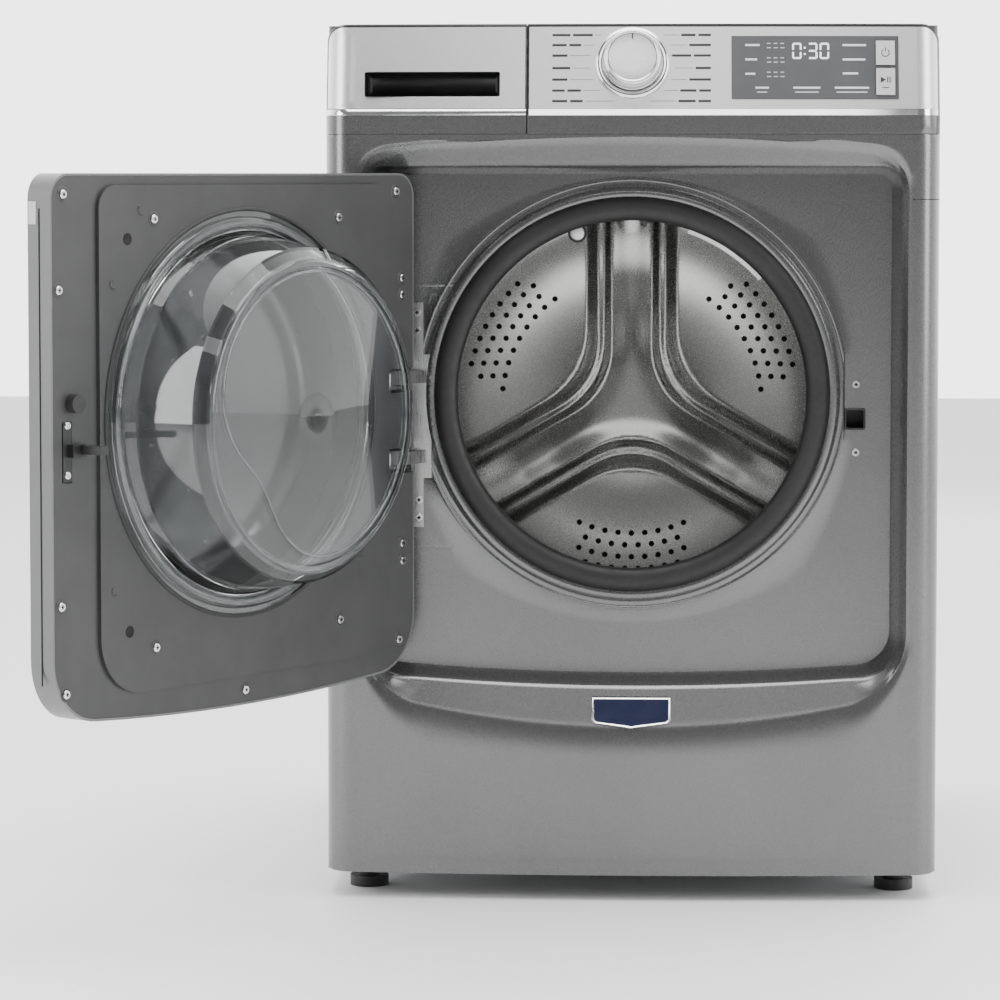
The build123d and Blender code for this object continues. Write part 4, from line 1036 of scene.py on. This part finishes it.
def drum_lamp():
    """Round lamp lens in the upper gasket with a black bezel, and the spray slot beside it."""
    def place(x, depth, z):
        return from_mouth(LAMP_AT[0] + x, LAMP_AT[1] + depth, LAMP_AT[2] + z)

    piece("lamp_lens", *spun(LAMP_LENS, place, 32), GLASS_FROST, slot="clear_glass")
    piece("lamp_bezel", *spun(LAMP_BEZEL, place, 40), BLACK, slot="black_plastic")
    piece("spray_slot", *spun(SPRAY_LIP, from_mouth, 40, *SPRAY_ARC), GLASS_FROST, slot="clear_glass")


# ---- Door ----
PANEL_SCREWS = (
    (-257, 795), (-261, 294), (271, 794), (271, 291), (278, 698), (277, 380), (-1, 266), (142, 768),
    (-153, 767), (142, 326), (-154, 327), (-268, 698.6), (-268, 680), (-268, 401.5), (-268, 382),
)
PAD_X = (-237.0, 223.0)
PAD_Z = (282.0, 803.0)
PAD_RISE = 4.0
CLIP_SPOTS = ((202, 703), (202, 389), (160, 778), (-190, 700), (-190, 398))
PLUG_HOLES = ((181, 748), (181, 346))
WELL = ((5.2, 0.05), (5.4, 0.5), (6.6, 0.7), (7.6, 0.45), (7.9, 0.05))
PLUG = ((0.01, 0.25), (4.4, 0.3), (5.2, 0.7), (6.0, 0.5), (6.3, 0.05))
CLIP = ((3.2, 0.05), (3.4, 0.9), (5.6, 1.0), (6.0, 0.05))
DRIVE_BLADE = ((2.6, -0.5), (2.6, 0.5), (0.0, 0.55), (0.0, -0.55))
DRIVE_RISE = 2.47


def door_face(x, z):
    """Y of the inner door panel with its raised pad, door closed."""
    on_pad = PAD_X[0] < x < PAD_X[1] and PAD_Z[0] < z < PAD_Z[1]
    return DOOR_INNER_Y + (PAD_RISE if on_pad else 0.0)


def at_panel(x, z):
    """Place function for small round pieces standing on the inner door panel."""
    face = door_face(x, z)

    def place(dx, rise, dz):
        return opened(x + dx, face + rise, z + dz)
    return place


def drive_blades(place):
    """Six-lobed drive of a screw, as dark blades just above its head: painted shade for the drive's recess."""
    blades = []
    for turn in range(6):
        sine, cosine = math.sin(math.tau * turn / 6), math.cos(math.tau * turn / 6)
        blade = [place(radius * cosine - across * sine, DRIVE_RISE, radius * sine + across * cosine)
                 for radius, across in DRIVE_BLADE]
        blades.append((blade, [(0, 1, 2, 3)]))
    return blades


def door_marks():
    """Screw wells and drives, plug holes and the small arrow-like clips of the inner panel; the drives and
    plug holes are painted shade.
    """
    wells, drives, plugs, clips = [], [], [], []
    for x, z in PANEL_SCREWS:
        place = at_panel(x, z)
        wells.append(spun(WELL, place, 28))
        drives += drive_blades(place)
    for x, z in PLUG_HOLES:
        plugs.append(spun(PLUG, at_panel(x, z), 28))
    for x, z in CLIP_SPOTS:
        clips.append(spun(CLIP, at_panel(x, z), 20, math.radians(20), math.radians(200)))
    piece("screw_wells", *merged(wells), DOOR_GREY, "door", slot="door_plastic")
    piece("screw_drives", *merged(drives), DARK_SEAMS_AND_SHADE, "door", smooth=False, slot="screw_steel")
    # Plug holes: near-black caps of painted shade.
    piece("panel_plugs", *merged(plugs), DARK_SEAMS_AND_SHADE, "door", slot="black_plastic")
    piece("panel_clips", *merged(clips), DOOR_GREY, "door", slot="door_plastic")


STRIKE_X, STRIKE_SCREW_Z = 267.0, (562.0, 512.0)
STRIKE_SCREW = ((4.2, 0.0), (4.2, 1.2), (3.2, 2.0), (1.6, 2.1), (1.3, 1.0), (0.01, 1.0))
BOWL_STEPS = 192
BOWL_SEAL = ((213.0, 5.3), (214.2, 6.2), (216.4, 6.0), (217.4, 4.6), (217.0, 0.8))
BOWL_RIM = ((196.0, 7.0), (197.0, 9.2), (200.0, 10.2), (204.0, 9.6), (207.0, 7.2), (207.5, 5.6))
BOWL_BEAD = ((166.0, 96.5), (163.5, 99.4), (160.0, 100.6), (156.5, 100.9))
RIDGE_R = 152.0
RIDGE_DEPTH = 99.0
RIDGE_DENT = math.radians(128)      # where the ridge on the bowl's end is drawn in
RIDGE_DENT_DEEP = 44.0
EDGE_INSERT = ((-383.0, 288.2), (-382.5, 289.5), (-372.0, 289.8), (-371.5, 288.2))     # y, x
EDGE_INSERT_Z = (764.0, 765.0, 786.0, 787.0)
LOCK_X, LOCK_Z = 252.0, 538.0
LOCK_FRAME = ((12.4, 0.1), (12.2, 1.5), (11.2, 1.9), (10.2, 1.4))      # half height, rise
LOCK_SCREWS = ((253, 577), (253, 500))
HINGE_SCREWS = ((-243, 658), (-243, 637.5), (-241, 445), (-241, 425))
HINGE_PLATE_RISE = 2.4


def strike_screws():
    """Two screws that hold the strike plate."""
    heads = []
    for z in STRIKE_SCREW_Z:
        def place(dx, rise, dz, z=z):
            return opened(STRIKE_X + dx, DOOR_INNER_Y + 0.6 + rise, z + dz)
        heads.append(spun(STRIKE_SCREW, place, 24))
    piece("strike_screws", *merged(heads), SCREW_STEEL, "door", slot="screw_steel")


def bowl_rims():
    """Dark seal round the glass, its bright rolled rim, and the ridge and bead at the bowl's end."""
    def place(x, depth, z):
        return opened(x, DOOR_INNER_Y + depth, BOWL_Z + z)

    piece("bowl_seal", *spun(BOWL_SEAL, place, BOWL_STEPS), RUBBER, "door", slot="black_rubber")
    piece("bowl_rim", *spun(BOWL_RIM, place, BOWL_STEPS), GLASS, "door", slot="clear_glass")
    ridge = []
    for i in range(180):
        angle = math.tau * i / 180
        dent = RIDGE_DENT_DEEP * math.exp(-((angle - RIDGE_DENT) / 0.62) ** 2)
        radius = RIDGE_R - dent
        depth = RIDGE_DEPTH + dent * 0.036
        ridge.append(place(radius * math.sin(angle), depth, radius * math.cos(angle)))
    piece("bowl_ridge", *tube(ridge, 1.7, closed=True), GLASS, "door", slot="clear_glass")
    piece("bowl_bead", *spun(BOWL_BEAD, place, BOWL_STEPS), GLASS, "door", slot="clear_glass")


def door_edge_trim():
    """Groove down the latch edge, as a dark bead of painted shade, and the pale insert near the top of it."""
    groove = [opened(289.15, -368.0, 300.0 + 8.0 * i) for i in range(61)]
    piece("edge_groove", *tube(groove, 0.8), DARK_SEAMS_AND_SHADE, "door", slot="black_plastic")
    insert = [[opened(x, y, z) for y, x in EDGE_INSERT] for z in EDGE_INSERT_Z]
    verts, faces = loops_mesh(insert, cap_first=True, cap_last=True)
    crisp(piece("edge_insert", verts, faces, KEY_SILVER, "door", slot="key_plastic"))


def lock_mouth():
    """Moulded surround of the door lock's slot, and the drives of the lock's and hinge plate's screws as dark
    blades of painted shade.
    """
    rings = []
    for size, rise in LOCK_FRAME:
        outline = rounded_rect(-size * 0.95, size * 0.95, -size, size, 2.0, 4)
        rings.append([(LOCK_X + x, FLOOR_Y - rise, LOCK_Z + z) for x, z in outline])
    piece("lock_surround", *loops_mesh(rings), BLACK, slot="black_plastic")
    drives = []
    for screws, seat in ((LOCK_SCREWS, FLOOR_Y), (HINGE_SCREWS, FLOOR_Y - HINGE_PLATE_RISE)):
        for x, z in screws:
            def place(dx, rise, dz):
                return (x + dx, seat - rise, z + dz)
            drives += drive_blades(place)
    piece("front_drives", *merged(drives), DARK_SEAMS_AND_SHADE, smooth=False, slot="screw_steel")


# ---- Rear ----
REAR_FACE_Y = 358.3
REAR_SCREWS = tuple((x, z) for x in (-328.0, 328.0) for z in (60.0, 265.0, 470.0, 675.0, 880.0))
REAR_SCREWS += tuple((x, z) for x in (-164.0, 0.0, 164.0) for z in (46.0, 948.0))
TRANSIT_CAPS = ((-150.0, 300.0), (150.0, 300.0), (-150.0, 640.0), (150.0, 640.0))
REAR_WASHER = ((6.6, 0.0), (6.4, 0.9), (4.6, 1.1))
REAR_HEAD = ((4.4, 1.0), (4.4, 4.2), (3.6, 4.9), (0.01, 5.0))
TRANSIT_CAP = ((19.0, 0.0), (19.0, 1.6), (17.6, 3.0), (13.0, 3.2), (11.5, 2.0), (3.0, 1.6), (0.01, 1.6))
LOUVRES = 9
LOUVRE_TOP_Z, LOUVRE_PITCH = 840.0, 12.0
LOUVRE_SECTION = ((0.0, 4.0), (2.6, 1.0), (3.0, 0.0), (0.0, -0.6))         # rise, height
LOUVRE_ENDS = ((-60.0, 0.05), (-56.0, 1.0), (56.0, 1.0), (60.0, 0.05))     # x, share of the rise
PLATE_BOX = (-55, 55, 868, 918)


def at_rear(x, z):
    """Place function for small round pieces standing on the rear panel."""
    def place(dx, rise, dz):
        return (x + dx, REAR_FACE_Y + rise, z + dz)
    return place


def rear_details():
    """Hex screws, transit-bolt caps, air louvres and a blank rating plate on the back."""
    screws, caps = [], []
    for x, z in REAR_SCREWS:
        place = at_rear(x, z)
        screws += [spun(REAR_WASHER, place, 24), spun(REAR_HEAD, place, 6)]
    crisp(piece("rear_screws", *merged(screws), SCREW_STEEL, slot="screw_steel"), 25)
    for x, z in TRANSIT_CAPS:
        caps.append(spun(TRANSIT_CAP, at_rear(x, z), 48))
    crisp(piece("transit_caps", *merged(caps), TUB_PLASTIC, slot="tub_plastic"), 30)
    slats = []
    for i in range(LOUVRES):
        low = LOUVRE_TOP_Z - LOUVRE_PITCH * i
        loops = [[(x, REAR_FACE_Y + rise * share, low + up) for rise, up in LOUVRE_SECTION]
                 for x, share in LOUVRE_ENDS]
        slats.append(loops_mesh(loops, cap_first=True, cap_last=True))
    crisp(piece("rear_louvres", *merged(slats), ZINC, slot="zinc_sheet"))
    outline = rounded_rect(*PLATE_BOX, 3)
    plate = [[(x, REAR_FACE_Y + rise, z) for x, z in outline] for rise in (0.0, 0.35)]
    crisp(piece("rating_plate", *loops_mesh(plate, cap_last=True), PALE_INK, slot="valve_plastic"))


# ---- Hoses between the cabinet and the moving tub ----
RIB_PITCH = 9.0
RIB_DEEP = 0.12                 # share of the radius
SUMP_X, SUMP_Y = 60.0, -171.0
PUMP_Y, PUMP_Z = -265.0, 92.0
SUMP_RIBS_Z = 118.0
SUMP_HOSE_R, DISPENSER_HOSE_R = 17.5, 21.5


def ribbed_path(points, radius, ribs_until):
    """Hose along points spaced closely; ribs are moulded on it above a height."""
    loops = []
    for i, point in enumerate(points):
        before, after = Vector(points[max(i - 1, 0)]), Vector(points[min(i + 1, len(points) - 1)])
        along = (after - before).normalized()
        side = along.cross(Vector((1, 0, 0)) if abs(along.x) < 0.9 else Vector((0, 1, 0))).normalized()
        up = along.cross(side)
        wave = math.cos(math.tau * point[2] / RIB_PITCH) if point[2] > ribs_until else 0.0
        size = radius * (1 - RIB_DEEP + RIB_DEEP * wave)
        ring = []
        for k in range(28):
            turn = math.tau * k / 28
            ring.append(tuple(Vector(point) + size * (math.cos(turn) * side + math.sin(turn) * up)))
        loops.append(ring)
    return loops_mesh(loops, cap_first=True, cap_last=True)


def joined(*runs):
    """Points every 1.5 mm along straight runs between the given corners."""
    points = []
    for begin, end in runs:
        begin, end = Vector(begin), Vector(end)
        steps = max(2, int((end - begin).length / 1.5))
        points += [tuple(begin.lerp(end, i / steps)) for i in range(steps + 1)]
    return points


def tub_hoses():
    """Corrugated sump and dispenser hoses in place of the CAD ones."""
    low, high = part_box("sump_hose")
    x, y = SUMP_X, SUMP_Y
    top = (x, y, high.z / MM - 1.0)
    path = joined(((high.x / MM - 2.0, PUMP_Y, PUMP_Z), (x + 22, PUMP_Y, PUMP_Z)),
                  ((x, PUMP_Y + 22, PUMP_Z), (x, y - 25, PUMP_Z)), ((x, y, PUMP_Z + 22), top))
    hose = ribbed_path(path, SUMP_HOSE_R, SUMP_RIBS_Z)
    sump = piece("sump_bellows", *hose, RUBBER, body=None, slot="black_rubber")
    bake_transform(sump)
    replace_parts(sump, "sump_hose")
    low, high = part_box("dispenser_hose")
    centre = (low + high) * 0.5 / MM
    begin, end = (centre.x, centre.y, high.z / MM - 0.5), (centre.x, centre.y, low.z / MM + 0.5)
    hose = ribbed_path(joined((begin, end)), DISPENSER_HOSE_R, 0.0)
    drop = piece("dispenser_bellows", *hose, RUBBER, body=None, slot="black_rubber")
    Vector(begin) * MM
    Vector(end) * MM
    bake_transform(drop)
    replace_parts(drop, "dispenser_hose")


# ---- Studio ----
SKY_FRONT = 0.24
SKY_BACK = 3.8
LIGHTS = (
    ("left_bank", (-3.2, -2.2, 1.7), (0.0, -0.3, 0.5), (1.2, 2.6), 80.0),
    ("right_bank", (3.4, -2.0, 1.7), (0.0, -0.3, 0.5), (1.2, 2.6), 80.0),
    ("overhead", (0.0, -1.2, 3.6), (0.0, -0.4, 0.4), (2.6, 2.2), 125.0),
    ("front_fill", (0.2, -3.4, 2.6), (0.0, -0.2, 0.5), (1.6, 0.5), 10.0),
    ("rear_fill", (0.6, 4.5, 2.2), (0.0, 0.3, 0.5), (2.4, 1.8), 60.0),
)
CAMERA_AT = (0.0, -4.530, 0.814)
CAMERA_YAW = math.radians(2.035)
CAMERA_PITCH = math.radians(3.48)
CAMERA_LENS = 133.7
CAMERA_SHIFT = -0.100
FLOOR_HALF = 9000


def soft_sky():
    """Even studio sky: bright behind the machine and overhead, dimmer in front of it."""
    world = bpy.data.worlds.new("soft_sky")
    bpy.context.scene.world = world
    world.use_nodes = True
    tree = world.node_tree
    tree.nodes["Background"].inputs["Color"].default_value = (1.0, 1.0, 1.0, 1)
    place = tree.nodes.new("ShaderNodeTexCoord")
    split = tree.nodes.new("ShaderNodeSeparateXYZ")
    tree.links.new(place.outputs["Generated"], split.inputs["Vector"])
    strength = tree.nodes.new("ShaderNodeMapRange")
    strength.inputs["From Min"].default_value = -0.35
    strength.inputs["From Max"].default_value = 0.6
    strength.inputs["To Min"].default_value = SKY_FRONT
    strength.inputs["To Max"].default_value = SKY_BACK
    tree.links.new(split.outputs["Y"], strength.inputs["Value"])
    tree.links.new(strength.outputs["Result"], tree.nodes["Background"].inputs["Strength"])


def floor_paint():
    """Matt pale floor with barely visible unevenness."""
    material, tree, shader = node_tree("floor_paint")
    drift = noise(tree, 1.5, detail=2.0)
    tree.links.new(two_tone(tree, drift, (0.885, 0.885, 0.885), (0.90, 0.90, 0.90)),
                   shader.inputs["Base Color"])
    shader.inputs["Roughness"].default_value = 0.7
    return material


def studio():
    """Pale floor, broad soft lights and the soft sky."""
    signs = ((-1, -1), (1, -1), (1, 1), (-1, 1))
    corners = [(FLOOR_HALF * u, FLOOR_HALF * v, 0) for u, v in signs]
    piece("floor", corners, [(0, 1, 2, 3)], floor_paint(), body=None)
    soft_sky()
    for name, place, target, size, power in LIGHTS:
        lamp = bpy.data.lights.new(name, "AREA")
        lamp.shape = "RECTANGLE"
        lamp.size, lamp.size_y = size
        lamp.energy = power
        holder = bpy.data.objects.new(name, lamp)
        bpy.context.scene.collection.objects.link(holder)
        holder.location = place
        holder.rotation_euler = (Vector(target) - Vector(place)).to_track_quat("-Z", "Y").to_euler()


def camera():
    """Long lens in front of the machine, a little above its middle."""
    lens = bpy.data.cameras.new("camera")
    lens.lens = CAMERA_LENS
    lens.shift_y = CAMERA_SHIFT
    holder = bpy.data.objects.new("camera", lens)
    bpy.context.scene.collection.objects.link(holder)
    holder.location = CAMERA_AT
    holder.rotation_euler = (math.radians(90) - CAMERA_PITCH, 0, CAMERA_YAW)
    bpy.context.scene.camera = holder


# ---- The machine and its studio ----
finish_nodes()
drum_skin()
drum_holes()
gasket()
console_looks()
front_skin()
front_details()
drum_lamp()
door_marks()
bowl_rims()
strike_screws()
door_edge_trim()
lock_mouth()
rear_details()
tub_hoses()
studio()
camera()
